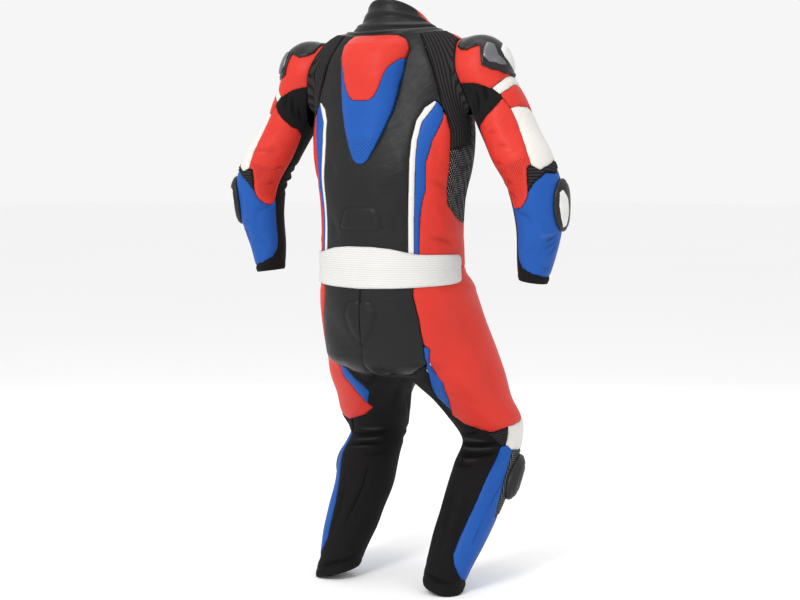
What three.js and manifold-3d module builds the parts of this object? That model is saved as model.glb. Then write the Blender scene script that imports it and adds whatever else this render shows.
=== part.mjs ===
// A one-piece motorcycle race suit, worn upright and hollow, seen with nobody inside.
// Millimetres, +Z up, the chest faces -Y and the wearer's left is +X.
// Heights in the tables are above the ankle hems, and the whole group hangs from the
// middle of the shoulder line, where the wearer carries it.
import * as THREE from 'three';
import Module from 'manifold-3d';

const kernel = await Module();
kernel.setup();
const { Manifold, Mesh: KernelMesh } = kernel;

// Driving sizes.
const HELD_HEIGHT = 1272;
const WALL = 2.0;
const SEAM = 0.3;
const ARMPIT_SEAM = 0.5;
const RIB_SEAM = 0.45;
const NECK_SEAM = 0.45;
const HALF_SEAM = 0.15;
const BLEND = 11;
const WAIST = 760;
const BODICE_FOOT = WAIST + 0.2;
const TROUSER_TOP = WAIST - 0.2;
const ARM_DOME = 76;
const NECK_CAP = 60;
const HIP_CAP = 60;
const BELT_THICK = 2.4;
const HUMP_EDGE = 3;
const PLATE_HEIGHT = 9;
const SLIDER_HEIGHT = 15;
const KNEE_SLIDER_HEIGHT = 24;
const COLLAR_WALL = 2.6;
const LEFT_TURN = { angle: 28, length: 200 };
const RIB_HEIGHT = 2.6;
const CHART_HALF = 3;
const CHART_BOW = 0.001;
const DEG = Math.PI / 180;

// Torso sections: height, middle depth, half width, depth to the front, depth to the back, squareness.
const TORSO = [
  [560, 0, 158, 128, 142, 2.2],
  [640, 0, 168, 134, 153, 2.2],
  [706, 0, 170, 134, 152, 2.2],
  [795, 0, 172, 126, 149, 2.2],
  [854, 0, 171, 118, 149, 2.2],
  [913, 0, 175, 118, 151, 2.2],
  [984, 0, 190, 124, 150, 2.2],
  [1060, 0, 199, 128, 133, 2.3],
  [1130, 0, 197, 126, 112, 2.3],
  [1190, 0, 200, 110, 97, 2.3],
  [1240, 0, 198, 88, 85, 2.3],
  [1270, 0, 185, 73, 75, 2.2],
  [1290, 0, 160, 63, 68, 2.2],
  [1304, 0, 128, 55, 61, 2.1],
  [1318, 0, 80, 46, 50, 2.0],
];
// Sleeve sections: height, middle X, middle Y, half width, half depth.
const ARM = [
  [735, 359, -10, 33, 35],
  [790, 366, -10, 42, 44],
  [860, 376, -2, 51, 53],
  [950, 369, 10, 62, 63],
  [1010, 340, 10, 69, 72],
  [1080, 299, -2, 66, 69],
  [1150, 262, -8, 66, 70],
  [1205, 234, 2, 64, 68],
];
// Leg sections: height, middle X, middle Y, half width, depth to the front, depth to the back.
const LEG = [
  [-40, 152, 46, 42, 44, 43],
  [40, 147, 9, 51, 53, 51],
  [120, 152, -50, 64, 66, 62],
  [200, 156, -112, 71, 73, 71],
  [280, 162, -154, 72, 78, 69],
  [330, 161, -190, 70, 79, 62],
  [380, 158, -170, 83, 93, 77],
  [440, 137, -136, 91, 99, 96],
  [500, 108, -106, 112, 124, 127],
  [560, 86, -84, 120, 132, 138],
  [640, 72, -58, 116, 128, 130],
  [700, 66, -32, 112, 124, 126],
];
const LEG_SQUARE = 2.15;
// Sleeve line from the armhole to the cuff: length along it, X, Y, height, dip below level.
const SLEEVE_LINE = [
  [-20, 186, -2, 1184, -14],
  [0, 205, -2, 1180, -14],
  [40, 238, -1, 1166, 16],
  [90, 266, -4, 1128, 44],
  [150, 295, -2, 1076, 60],
  [225, 334, 6, 1010, 65],
  [300, 361, 9, 943, 78],
  [390, 372, -2, 855, 94],
  [460, 364, -9, 786, 98],
  [512, 357, -10, 735, 98],
];

// A smooth curve through the rows of a table, read at x.
function readTable(rows, x) {
  const last = rows.length - 1;
  const at = Math.min(Math.max(x, rows[0][0]), rows[last][0]);
  let i = 0;
  while (i < last - 1 && at > rows[i + 1][0]) i += 1;
  const slope = (k, c) => {
    const h = (n) => rows[n + 1][0] - rows[n][0];
    const d = (n) => (rows[n + 1][c] - rows[n][c]) / h(n);
    if (k === 0) return d(0);
    if (k === last) return d(last - 1);
    return (d(k - 1) * h(k) + d(k) * h(k - 1)) / (h(k - 1) + h(k));
  };
  const width = rows[i + 1][0] - rows[i][0];
  const f = (at - rows[i][0]) / width;
  const f2 = f * f;
  const f3 = f2 * f;
  const out = [];
  for (let c = 1; c < rows[0].length; c += 1) {
    const a = (2 * f3 - 3 * f2 + 1) * rows[i][c] + (3 * f2 - 2 * f3) * rows[i + 1][c];
    const b = (f3 - 2 * f2 + f) * width * slope(i, c) + (f3 - f2) * width * slope(i + 1, c);
    out.push(a + b);
  }
  return out;
}

// Tables are read many times, so each is first laid out in steps of half a millimetre.
function sampled(rows) {
  const step = 0.5;
  const first = rows[0][0];
  const count = Math.round((rows[rows.length - 1][0] - first) / step);
  const cells = [];
  for (let i = 0; i <= count; i += 1) cells.push(readTable(rows, first + i * step));
  return (x) => {
    const f = Math.min(Math.max((x - first) / step, 0), count - 1e-6);
    const i = Math.floor(f);
    const w = f - i;
    return cells[i].map((value, c) => value * (1 - w) + cells[i + 1][c] * w);
  };
}
const torsoAt = sampled(TORSO);
const armAt = sampled(ARM);
const legAt = sampled(LEG);
const sleeveAt = sampled(SLEEVE_LINE);

// How far a point is outside one tube of the form, about, in millimetres.
function tubeLevel(dx, dy, halfWidth, front, back, square, beyond, cap) {
  const depth = dy > 0 ? back : front;
  const flat = (Math.abs(dx) / halfWidth) ** square + (Math.abs(dy) / depth) ** square;
  const rho = Math.sqrt(flat ** (2 / square) + (beyond / cap) ** 2);
  return (rho - 1) * Math.min(halfWidth, front, back);
}
function formLevel(x, y, z) {
  const levels = [];
  const t = torsoAt(z);
  const over = Math.max(z - TORSO[TORSO.length - 1][0], 0) - Math.min(z - TORSO[0][0], 0);
  levels.push(tubeLevel(x, y - t[0], t[1], t[2], t[3], t[4], over, NECK_CAP));
  const a = armAt(z);
  const l = legAt(z);
  for (const side of [-1, 1]) {
    const armOver = Math.max(z - ARM[ARM.length - 1][0], 0);
    levels.push(tubeLevel(x - side * a[0], y - a[1], a[2], a[3], a[3], 2, armOver, ARM_DOME));
    const legOver = Math.max(z - LEG[LEG.length - 1][0], 0);
    levels.push(tubeLevel(x - side * l[0], y - l[1], l[2], l[3], l[4], LEG_SQUARE, legOver, HIP_CAP));
  }
  const low = Math.min(...levels);
  let sum = 0;
  for (const level of levels) sum += Math.exp((low - level) / BLEND);
  return low - BLEND * Math.log(sum);
}

// The first point where a ray from inside the form leaves it.
function leave(origin, way, reach) {
  const step = 4;
  const level = (r) => formLevel(origin[0] + way[0] * r, origin[1] + way[1] * r, origin[2] + way[2] * r);
  let near = 0;
  while (near < reach && level(near + step) < 0) near += step;
  let far = near + step;
  for (let i = 0; i < 16; i += 1) {
    const middle = (near + far) / 2;
    if (level(middle) < 0) near = middle;
    else far = middle;
  }
  return origin.map((value, i) => value + way[i] * near);
}
function normalAt(p) {
  const e = 0.8;
  const n = [
    formLevel(p[0] + e, p[1], p[2]) - formLevel(p[0] - e, p[1], p[2]),
    formLevel(p[0], p[1] + e, p[2]) - formLevel(p[0], p[1] - e, p[2]),
    formLevel(p[0], p[1], p[2] + e) - formLevel(p[0], p[1], p[2] - e),
  ];
  const length = Math.hypot(...n);
  return n.map((value) => value / length);
}

// Three ways of laying flat cloth round the form. Each takes an angle in degrees, 0 at
// the back and 90 at the side, and a second length: a height, or a length along the sleeve.
const FAN_START = 1120;
const FAN_SPAN = 210;
function bodicePoint(angle, row) {
  const t = angle * DEG;
  const up = Math.max(0, row - FAN_START);
  const tilt = (up / 3) * DEG;
  const spread = 128 * (1 - (0.75 * up) / FAN_SPAN);
  const origin = [spread * Math.sin(t), 0, Math.min(row, FAN_START) + 0.35 * up];
  const dx = 0.6 * Math.sin(t);
  const dy = Math.cos(t);
  const n = Math.hypot(dx, dy);
  const way = [(dx / n) * Math.cos(tilt), (dy / n) * Math.cos(tilt), Math.sin(tilt)];
  return leave(origin, way, 420);
}
function legPoint(angle, row) {
  const l = legAt(row);
  return leave([l[0], l[1], row], [Math.sin(angle * DEG), Math.cos(angle * DEG), 0], 330);
}
function sleevePoint(angle, row) {
  const s = sleeveAt(row);
  const dip = s[3] * DEG;
  const c = Math.cos(angle * DEG);
  const k = Math.sin(angle * DEG);
  return leave([s[0], s[1], s[2]], [k * Math.sin(dip), c, k * Math.cos(dip)], 190);
}
// The left sleeve hangs turned towards the back, by an angle that grows evenly from the shoulder
// down to the elbow.
function turnedSleevePoint(angle, row) {
  const share = Math.min(Math.max(row / LEFT_TURN.length, 0), 1);
  return sleevePoint(angle - LEFT_TURN.angle * share, row);
}

const SLEEVE_LAY = { turns: false, perDegree: 1.15, angleStep: 30, rowStep: 40 };
const CHARTS = {
  bodice: { point: bodicePoint, turns: true, perDegree: 2.6, angleStep: 15, rowStep: 40 },
  leg: { point: legPoint, turns: true, perDegree: 1.31, angleStep: 24, rowStep: 34 },
  sleeve: { point: sleevePoint, ...SLEEVE_LAY },
  leftSleeve: { point: turnedSleevePoint, ...SLEEVE_LAY },
};

const steps = (low, high, step) => {
  const first = Math.floor(low / step - 1e-9);
  const last = Math.ceil(high / step + 1e-9);
  return Array.from({ length: last - first + 1 }, (_, i) => (first + i) * step);
};
const bow = (x, y) => CHART_BOW * (x * x + (y - 700) * (y - 700));

// A bowed slab of flat cloth over a grid of [angle, row] points.
function flatCloth(grid, perDegree) {
  const across = grid[0].length;
  const points = [];
  for (const sign of [-1, 1]) {
    for (const line of grid) {
      for (const [angle, row] of line) {
        const x = angle * perDegree;
        points.push(x, row, bow(x, row) + sign * CHART_HALF);
      }
    }
  }
  const half = grid.length * across;
  const faces = [];
  for (let j = 0; j + 1 < grid.length; j += 1) {
    for (let i = 0; i + 1 < across; i += 1) {
      const a = j * across + i;
      const b = a + 1;
      const c = b + across;
      const d = a + across;
      faces.push(a, c, b, a, d, c);
      faces.push(half + a, half + b, half + c, half + a, half + c, half + d);
    }
  }
  const ring = [];
  for (let i = 0; i < across; i += 1) ring.push(i);
  for (let j = 1; j < grid.length; j += 1) ring.push(j * across + across - 1);
  for (let i = across - 2; i >= 0; i -= 1) ring.push((grid.length - 1) * across + i);
  for (let j = grid.length - 2; j > 0; j -= 1) ring.push(j * across);
  ring.forEach((a, i) => {
    const b = ring[(i + 1) % ring.length];
    faces.push(a, b, half + b, a, half + b, half + a);
  });
  return solidFrom(points, faces);
}
function solidFrom(points, faces) {
  return new Manifold(new KernelMesh({
    numProp: 3,
    vertProperties: new Float32Array(points),
    triVerts: new Uint32Array(faces),
  }));
}

// An outline in [angle, row] cut straight through the flat cloth.
function cutter(outline, perDegree) {
  const flat = outline.map(([angle, row]) => new THREE.Vector2(angle * perDegree, row));
  if (THREE.ShapeUtils.area(flat) < 0) flat.reverse();
  const caps = THREE.ShapeUtils.triangulateShape(flat, []);
  const n = flat.length;
  const points = [];
  for (const z of [-400, 900]) {
    for (const p of flat) points.push(p.x, p.y, z);
  }
  const faces = [];
  for (const [a, b, c] of caps) faces.push(a, c, b, n + a, n + b, n + c);
  for (let i = 0; i < n; i += 1) {
    const j = (i + 1) % n;
    faces.push(i, j, n + j, i, n + j, n + i);
  }
  return solidFrom(points, faces);
}

// The outline moved outwards by a distance in millimetres of flat cloth.
function grown(outline, distance, perDegree) {
  const flat = outline.map(([angle, row]) => new THREE.Vector2(angle * perDegree, row));
  if (THREE.ShapeUtils.area(flat) < 0) flat.reverse();
  const out = [];
  flat.forEach((p, i) => {
    const before = flat[(i + flat.length - 1) % flat.length];
    const after = flat[(i + 1) % flat.length];
    const a = p.clone().sub(before).normalize();
    const b = after.clone().sub(p).normalize();
    const na = new THREE.Vector2(a.y, -a.x);
    const nb = new THREE.Vector2(b.y, -b.x);
    const middle = na.clone().add(nb).normalize();
    const stretch = Math.min(1 / Math.max(middle.dot(na), 0.35), 2.8);
    const q = p.clone().addScaledVector(middle, distance * stretch);
    out.push([q.x / perDegree, q.y]);
  });
  return out;
}
const mirrored = (outline) => outline.map(([angle, row]) => [-angle, row]).reverse();
// A half outline given from the bottom centre round to the top centre, made whole.
const whole = (half) => [...half, ...mirrored(half).filter(([angle]) => Math.abs(angle) > 1e-6)];

// Where rows run upwards, a wrapped piece has its faces turned over.
function turnedOver(faces) {
  const out = [];
  for (let i = 0; i < faces.length; i += 3) out.push(faces[i], faces[i + 2], faces[i + 1]);
  return out;
}
// Cut cloth wrapped on the form. lift(angle, row) gives the inner and outer height of the
// wall over the form's surface there.
function wrapped(flat, chart, lift) {
  const mesh = flat.getMesh();
  const stride = mesh.numProp;
  const points = [];
  for (let i = 0; i < mesh.vertProperties.length; i += stride) {
    const x = mesh.vertProperties[i];
    const row = mesh.vertProperties[i + 1];
    const outer = mesh.vertProperties[i + 2] > bow(x, row) + 0.2;
    const angle = x / chart.perDegree;
    const p = chart.point(angle, row);
    const n = normalAt(p);
    const [low, high] = lift(angle, row);
    const move = outer ? high : low;
    points.push(p[0] + n[0] * move, p[1] + n[1] * move, p[2] + n[2] * move);
  }
  return solidFrom(points, chart.turns ? turnedOver(mesh.triVerts) : Array.from(mesh.triVerts));
}

const plainWall = () => [-WALL, 0];

// Everything on one side of a plane, as a large block.
function halfSpace(point, normal) {
  const size = 3000;
  const box = new THREE.BoxGeometry(size, size, size);
  const turn = new THREE.Quaternion().setFromUnitVectors(new THREE.Vector3(0, 0, 1), normal);
  const p = new THREE.Vector3();
  const points = [];
  const corners = [];
  const place = box.getAttribute('position');
  const index = [];
  for (let i = 0; i < place.count; i += 1) {
    p.fromBufferAttribute(place, i);
    const key = `${Math.sign(p.x)},${Math.sign(p.y)},${Math.sign(p.z)}`;
    let at = corners.indexOf(key);
    if (at < 0) {
      at = corners.length;
      corners.push(key);
      p.z += size / 2;
      p.applyQuaternion(turn).add(point);
      points.push(p.x, p.y, p.z);
    }
    index.push(at);
  }
  return solidFrom(points, Array.from(box.getIndex().array).map((i) => index[i]));
}
const ARMHOLE_DIP = SLEEVE_LINE[1][4] * DEG;
const ARMHOLE_WAY = new THREE.Vector3(Math.cos(ARMHOLE_DIP), 0, -Math.sin(ARMHOLE_DIP));
const armholeAt = (shift) => new THREE.Vector3(SLEEVE_LINE[1][1], SLEEVE_LINE[1][2], SLEEVE_LINE[1][3])
  .addScaledVector(ARMHOLE_WAY, shift);
const beyondArmhole = halfSpace(armholeAt(HALF_SEAM), ARMHOLE_WAY);
const insideArmhole = halfSpace(armholeAt(-HALF_SEAM), ARMHOLE_WAY.clone().negate());
const leftOfMiddle = halfSpace(new THREE.Vector3(HALF_SEAM, 0, 0), new THREE.Vector3(1, 0, 0));

// The neck edge, where the stand collar is sewn on, laid out every ten degrees.
const neckRow = (angle) => 1284 + 8 * Math.cos(angle * DEG);
function neckEdge(from, to) {
  const low = Math.min(from, to);
  const high = Math.max(from, to);
  const angles = [low, ...steps(low, high, 10).filter((a) => a > low + 1 && a < high - 1), high];
  if (to < from) angles.reverse();
  return angles.map((angle) => [angle, neckRow(angle)]);
}

// Outlines of the bodice pieces, [angle, height], for the wearer's left.
const WHITE_STRIPE = [
  [31, BODICE_FOOT], [31, 873], [32, 1007], [33, 1052], [36, 1097], [42, 1124], [52.6, 1142],
  [54.4, 1141], [46, 1115], [40, 1092], [37, 1052], [36, 1007], [35, 873], [35, BODICE_FOOT],
];
const BLUE_STRIPE = [
  [35, BODICE_FOOT], [35, 873], [36, 1007], [37, 1052], [40, 1092], [46, 1115], [54.4, 1141], [57, 1125],
  [57, 1101], [53, 1079], [48, 1052], [46, 1029], [43, 1000], [43, 940], [41, 918], [39, 873], [38, BODICE_FOOT],
];
const RED_SIDE = [
  [38, BODICE_FOOT], [39, 873], [41, 918], [43, 940], [43, 1000], [46, 1029], [48, 1052], [53, 1079],
  [57, 1101], [57.4, 1116], [59.6, 1108], [63, 1074], [63, 1007], [62, 939], [64, 905], [79, 880], [112, 862],
  [120, 860], [120, BODICE_FOOT],
];
const RIBBED_SHOULDER = [
  [63, 1030], [63, 1074], [59.6, 1108], [57, 1125], [57, 1132], [58, 1155], [59, 1211], [59.2, 1248], ...neckEdge(61.4, 88),
  [88, 1255], [84, 1225], [84, 1120], [86, 1104], [92, 1085], [98, 1045],
];
const MESH_FLANK = [
  [79, 880], [64, 905], [62, 939], [63, 1007], [63, 1032], [98, 1047], [92, 1085], [86, 1104],
  [88, 1112], [104, 1104], [120, 1075], [120, 860], [112, 862],
];
const FRONT_PANEL = [
  [120, BODICE_FOOT], [178.2, BODICE_FOOT], ...neckEdge(178.2, 88), [88, 1104], [104, 1104], [120, 1075],
];
const FRONT_ZIP = [[178.4, BODICE_FOOT], [181.6, BODICE_FOOT], [181.6, 1276], [178.4, 1276]];
const BACK_BLACK = whole([
  [0, BODICE_FOOT], [31, BODICE_FOOT], [31, 873], [32, 1007], [33, 1052], [36, 1097], [42, 1124], [54, 1142],
  [57, 1132], [58, 1155], [59, 1211], [59, 1248], ...neckEdge(60, 0),
]);
const WAIST_BELT = whole([
  [0, 715], [20, 717], [46, 721], [67, 723], [84, 726], [92, 730], [95, 738], [96, 778], [94, 787],
  [88, 791], [55, 793], [40, 794], [34, 796], [29, 800], [20, 807], [8, 811], [0, 811],
]);
const HUMP = whole([
  [0, 997], [5, 1006], [9, 1033], [15, 1080], [19.5, 1120], [26.5, 1178], [37, 1236], [43, 1258],
  [44, 1270], [42, 1280], [35, 1286], [20, 1288], [0, 1288],
]);
const HUMP_RED = whole([
  [0, 1131], [6, 1132], [10, 1142], [13, 1158], [16.5, 1180], [19, 1195], [23, 1212], [31, 1229],
  [40, 1242], [48, 1247], [70, 1250], [70, 1300], [0, 1300],
]);
// Height of the hump over the back: row, height at the middle, half width of its outline in degrees.
const HUMP_RISE = [
  [990, 3, 4],
  [1006, 6, 6.5],
  [1033, 12, 10.5],
  [1080, 22, 16.5],
  [1120, 33, 21],
  [1178, 48, 28],
  [1215, 53, 34],
  [1240, 52, 40],
  [1262, 44, 45],
  [1288, 20, 46],
];

// Outlines of the sleeve pieces, [angle, length from the armhole].
const UNDER = -159.8;
const OVER = 199.8;
const ARM_BAND = [
  [34, 81], [53, 81], [76, 78], [110, 76], [OVER, 80], [OVER, 93], [110, 91], [88, 91], [62, 96], [41, 97],
];
const SHOULDER_RED = [
  [-2, -18], [-2, 4], [7, 35], [19, 59], [30, 78], [34, 81], [53, 81], [76, 78], [110, 76], [OVER, 80], [OVER, -18],
];
const OUTER_ARM_RED = [
  [43, 105], [41, 97], [62, 96], [88, 91], [110, 91], [OVER, 93], [OVER, 138], [116, 141], [100, 134], [49, 128],
];
const UPPER_ARM_WHITE = [
  [49, 128], [50, 156], [45, 190], [40, 225], [38, 258], [51, 271], [85, 262], [107, 254], [140, 258],
  [OVER, 262], [OVER, 138], [116, 141], [100, 134],
];
const ELBOW_RIBS = [
  [30, 258], [38, 258], [51, 271], [85, 262], [107, 254], [140, 258], [140, 268], [118, 270], [91, 281],
  [60, 278], [36, 292], [19, 309], [23, 285],
];
const UPPER_ARM_RED = [
  [-30, 117], [-19, 119], [3, 115], [21, 112], [43, 105], [49, 128], [50, 156], [45, 190], [40, 225],
  [38, 258], [30, 258], [23, 285], [19, 309], [24, 327], [12, 339], [-38, 339], [-44, 320], [-46, 287],
  [-46, 175], [-44, 130],
];
const FOREARM_BLUE = [
  [-38, 339], [12, 339], [24, 327], [19, 309], [36, 292], [60, 278], [91, 281], [118, 270], [140, 258],
  [OVER, 262], [OVER, 474], [120, 494], [70, 495], [20, 490], [-18, 480], [-38, 463], [-46, 440], [-46, 385],
];
const ARM_STRETCH = [
  [UNDER, -18], [60, -18], [60, 330], [60, 450], [OVER, 450], [OVER, 512], [UNDER, 512],
];
const PLATE = [
  [56, 10], [46, 28], [42, 46], [52, 62], [73, 74], [100, 79], [124, 72], [136, 50], [132, 24], [116, 8], [82, 5],
];

// Outlines of the leg pieces, [angle, height]. Above the crotch they run just past the middle,
// where they are cut at the centre seam.
const BACK_MIDDLE = [
  [-42, 503], [-38, 506], [-33, 514], [-28.5, 530], [-26, 560], [-24, 650], [-25, TROUSER_TOP],
];
const FRONT_MIDDLE = [
  [216, TROUSER_TOP], [217, 650], [224, 560], [231, 530], [237, 514], [243, 502], [250, 494], [255, 490],
];
const INNER_SEAM = [[-85.5, 486], [-91.5, 470], [-114.5, 440], [-139.5, 410], [-149.8, 392]];
const THIGH_BLUE = [
  [18, 589], [14, 541], [-4, 486], [-24, 447], [-21, 414], [-18, 418], [-4, 446], [12, 490], [12, 513], [21, 576],
];
const SEAT = [...BACK_MIDDLE, [20, TROUSER_TOP], [20, 646], [18, 589], [14, 541], [-5, 515]];
const THIGH_RED = [
  [20, TROUSER_TOP], [20, 646], [18, 589], [21, 576], [12, 513], [12, 490], [-4, 446], [-18, 418], [-21, 414],
  [-30, 402], [-15, 382], [9, 371], [32, 362], [58, 374], [85, 381], [110, 386], [150, 398], [150, TROUSER_TOP],
];
const KNEE_WHITE = [
  [65, 377], [57, 330], [75, 317], [120, 312], [209.8, 316], [209.8, 394], [150, 398], [110, 386], [85, 381],
];
const KNEE_RIBS = [[18, 369], [32, 362], [58, 374], [65, 377], [57, 330], [47, 326], [34, 342]];
const SHIN_BLUE = [
  [57, 330], [47, 326], [41, 288], [35, 255], [30, 211], [26, 169], [23, 119], [24, 94], [35, 74], [54, 55],
  [77, 38], [110, 30], [150, 27], [209.8, 32], [209.8, 165], [94, 166], [83, 194], [76, 252], [78, 285],
  [76, 312], [75, 317],
];
const KNEE_BASE = [
  [75, 317], [76, 312], [78, 285], [76, 252], [83, 194], [94, 166], [209.8, 165], [209.8, 316], [120, 312],
];
const FRONT_THIGH = [
  [150, TROUSER_TOP], [150, 398], [209.8, 394], [219.5, 410], [244.5, 440], [267.5, 470], [273.5, 486],
  ...FRONT_MIDDLE.slice().reverse(),
];
const HEM_TURN = 70;
const hemHeight = (angle) => 16 - 12 * Math.cos((angle - HEM_TURN) * DEG);
const HEM = Array.from({ length: 13 }, (_, i) => -149.8 + (359.6 * i) / 12).map((angle) => [angle, hemHeight(angle)]);
const LEG_STRETCH = [
  ...HEM, [209.8, 60], [100, 60], [100, 545], [14, 560], [-34, 516], [-42, 502], [-58, 498], [-68, 494],
  [-74, 490], ...INNER_SEAM,
];

function oval(angle, row, halfAngle, halfRow, count) {
  return Array.from({ length: count }, (_, i) => {
    const t = (i / count) * 2 * Math.PI;
    return [angle + halfAngle * Math.cos(t), row + halfRow * Math.sin(t)];
  });
}
const ELBOW_PUCK = { angle: 104, row: 342, halfAngle: 40, halfRow: 50 };
const KNEE_PUCK = { angle: 118, row: 252, halfAngle: 36, halfRow: 50 };
const puckOutline = (p, count) => oval(p.angle, p.row, p.halfAngle, p.halfRow, count);

// Cloth that is cut on a regular grid of the chart.
function gridFor(outline, chart, angleStep, rowStep) {
  const angles = outline.map((p) => p[0]);
  const rows = outline.map((p) => p[1]);
  const columns = steps(Math.min(...angles), Math.max(...angles), angleStep);
  const lines = steps(Math.min(...rows), Math.max(...rows), rowStep);
  return lines.map((row) => columns.map((angle) => [angle, row]));
}
function largest(solid) {
  const bodies = solid.decompose();
  bodies.sort((a, b) => b.volume() - a.volume());
  return bodies[0];
}
// One piece: its outline cut from the cloth, less the pieces that lie beside it and come first.
function cutPiece(outline, before, chart, lift = plainWall, grid = null, seam = SEAM) {
  const base = grid ?? gridFor(outline, chart, chart.angleStep, chart.rowStep);
  let flat = flatCloth(base, chart.perDegree).intersect(cutter(outline, chart.perDegree));
  for (const other of before) {
    flat = flat.subtract(cutter(grown(other, seam, chart.perDegree), chart.perDegree));
  }
  return wrapped(largest(flat), chart, lift);
}

// Ribs: the outer points of a wall stand up and down by turns, over a plain inside.
const between = (rows, row) => readTable(rows, row)[0];
const SHOULDER_RIB_COUNT = 6;
const RIB_INNER = [[1000, 63], [1074, 62], [1118, 57], [1155, 57], [1211, 58], [1300, 59]];
const RIB_OUTER = [[1000, 100], [1074, 98], [1118, 86], [1155, 85], [1211, 85], [1300, 89]];
function shoulderRibGrid() {
  const columns = 2 * SHOULDER_RIB_COUNT;
  return steps(1020, 1300, 35).map((row) => Array.from({ length: columns + 1 }, (_, i) => {
    const low = between(RIB_INNER, row) - 1;
    const high = between(RIB_OUTER, row) + 1;
    return [low + ((high - low) * i) / columns, row];
  }));
}
function shoulderRibLift(angle, row) {
  const low = between(RIB_INNER, row) - 1;
  const high = between(RIB_OUTER, row) + 1;
  const turn = ((angle - low) / (high - low)) * SHOULDER_RIB_COUNT;
  const rise = 1 - Math.abs(((turn % 1) + 1) % 1 * 2 - 1);
  return [-WALL, RIB_HEIGHT * rise];
}

// Distance from a point of the chart to the nearest edge of an outline.
function edgeDistance(outline, angle, row, perDegree) {
  let best = Infinity;
  outline.forEach(([a0, r0], i) => {
    const [a1, r1] = outline[(i + 1) % outline.length];
    const ax = a0 * perDegree;
    const bx = a1 * perDegree - ax;
    const by = r1 - r0;
    const px = angle * perDegree - ax;
    const py = row - r0;
    const f = Math.min(Math.max((px * bx + py * by) / (bx * bx + by * by), 0), 1);
    best = Math.min(best, Math.hypot(px - f * bx, py - f * by));
  });
  return best;
}
const LIE = 0.35;
const PLATE_LIE = 1.5;
const ELBOW_LIE = 0.6;
const KNEE_LIE = 0.75;
const BELT_LIE = 1.3;
function beltLift() {
  return [BELT_LIE, BELT_LIE + BELT_THICK];
}
function humpLift(angle, row) {
  const [top, half] = readTable(HUMP_RISE, row);
  const f = Math.min(Math.abs(angle) / half, 1);
  return [LIE, LIE + HUMP_EDGE + (top - HUMP_EDGE) * (1 - f ** 2.4)];
}
function hardLift(outline, chart, lie, height, edge, round) {
  return (angle, row) => {
    const d = Math.min(edgeDistance(outline, angle, row, chart.perDegree) / round, 1);
    return [lie, lie + edge + (height - edge) * Math.sqrt(1 - (1 - d) ** 2)];
  };
}

// The stand collar rises from the neck edge of the bodice to a ring that dips at the throat.
const COLLAR_ROWS = 4;
const COLLAR_TOP = { halfWidth: 68, halfDepth: 72, middle: -22, height: 1337, dip: 38 };
const COLLAR_FLARE = { across: 0.5, deep: 0.3, up: 0.13 };
function collarPoint(angle, f) {
  const t = angle * DEG;
  const foot = bodicePoint(angle, neckRow(angle) + NECK_SEAM);
  const top = [
    COLLAR_TOP.halfWidth * Math.sin(t),
    COLLAR_TOP.middle + COLLAR_TOP.halfDepth * Math.cos(t),
    COLLAR_TOP.height + COLLAR_TOP.dip * Math.cos(t),
  ];
  const turn = [
    top[0] + COLLAR_FLARE.across * (foot[0] - top[0]),
    top[1] + COLLAR_FLARE.deep * (foot[1] - top[1]),
    foot[2] + COLLAR_FLARE.up * (top[2] - foot[2]),
  ];
  return foot.map((value, i) => value * (1 - f) ** 2 + turn[i] * 2 * f * (1 - f) + top[i] * f * f);
}
function collarNormal(angle, f) {
  const e = 0.02;
  const a = collarPoint(angle - 1, f);
  const b = collarPoint(angle + 1, f);
  const c = collarPoint(angle, Math.max(f - e, 0));
  const d = collarPoint(angle, Math.min(f + e, 1));
  const u = new THREE.Vector3(b[0] - a[0], b[1] - a[1], b[2] - a[2]);
  const v = new THREE.Vector3(d[0] - c[0], d[1] - c[1], d[2] - c[2]);
  const n = v.cross(u).normalize();
  if (f < 0.01) {
    const p = collarPoint(angle, 0);
    return new THREE.Vector3(...normalAt(p));
  }
  return n;
}
// Collar cloth from one angle to another at the foot, about a middle angle. From foot to top, the
// half span shrinks or grows to topSpan.
function collarPiece(from, to, topSpan) {
  const inner = steps(from, to, 10).filter((angle) => angle > from + 1 && angle < to - 1);
  const angles = [from, ...inner, to];
  const columns = angles.length - 1;
  const middle = (from + to) / 2;
  const footSpan = (to - from) / 2;
  const grid = [];
  for (let j = 0; j <= COLLAR_ROWS; j += 1) {
    const f = j / COLLAR_ROWS;
    const span = (footSpan + (topSpan - footSpan) * f) / footSpan;
    grid.push(angles.map((angle) => [middle + (angle - middle) * span, f]));
  }
  const points = [];
  for (const sign of [0, 1]) {
    for (const line of grid) {
      for (const [angle, f] of line) {
        const p = collarPoint(angle, f);
        const n = collarNormal(angle, f);
        const move = sign === 0 ? -COLLAR_WALL : 0;
        points.push(p[0] + n.x * move, p[1] + n.y * move, p[2] + n.z * move);
      }
    }
  }
  const across = columns + 1;
  const half = grid.length * across;
  const faces = [];
  for (let j = 0; j < COLLAR_ROWS; j += 1) {
    for (let i = 0; i < columns; i += 1) {
      const a = j * across + i;
      const b = a + 1;
      const c = b + across;
      const d = a + across;
      faces.push(a, b, c, a, c, d);
      faces.push(half + a, half + c, half + b, half + a, half + d, half + c);
    }
  }
  const ring = [];
  for (let i = 0; i < across; i += 1) ring.push(i);
  for (let j = 1; j < grid.length; j += 1) ring.push(j * across + across - 1);
  for (let i = across - 2; i >= 0; i -= 1) ring.push((grid.length - 1) * across + i);
  for (let j = grid.length - 2; j > 0; j -= 1) ring.push(j * across);
  ring.forEach((a, i) => {
    const b = ring[(i + 1) % ring.length];
    faces.push(a, half + b, b, a, half + a, half + b);
  });
  return solidFrom(points, faces);
}

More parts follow.
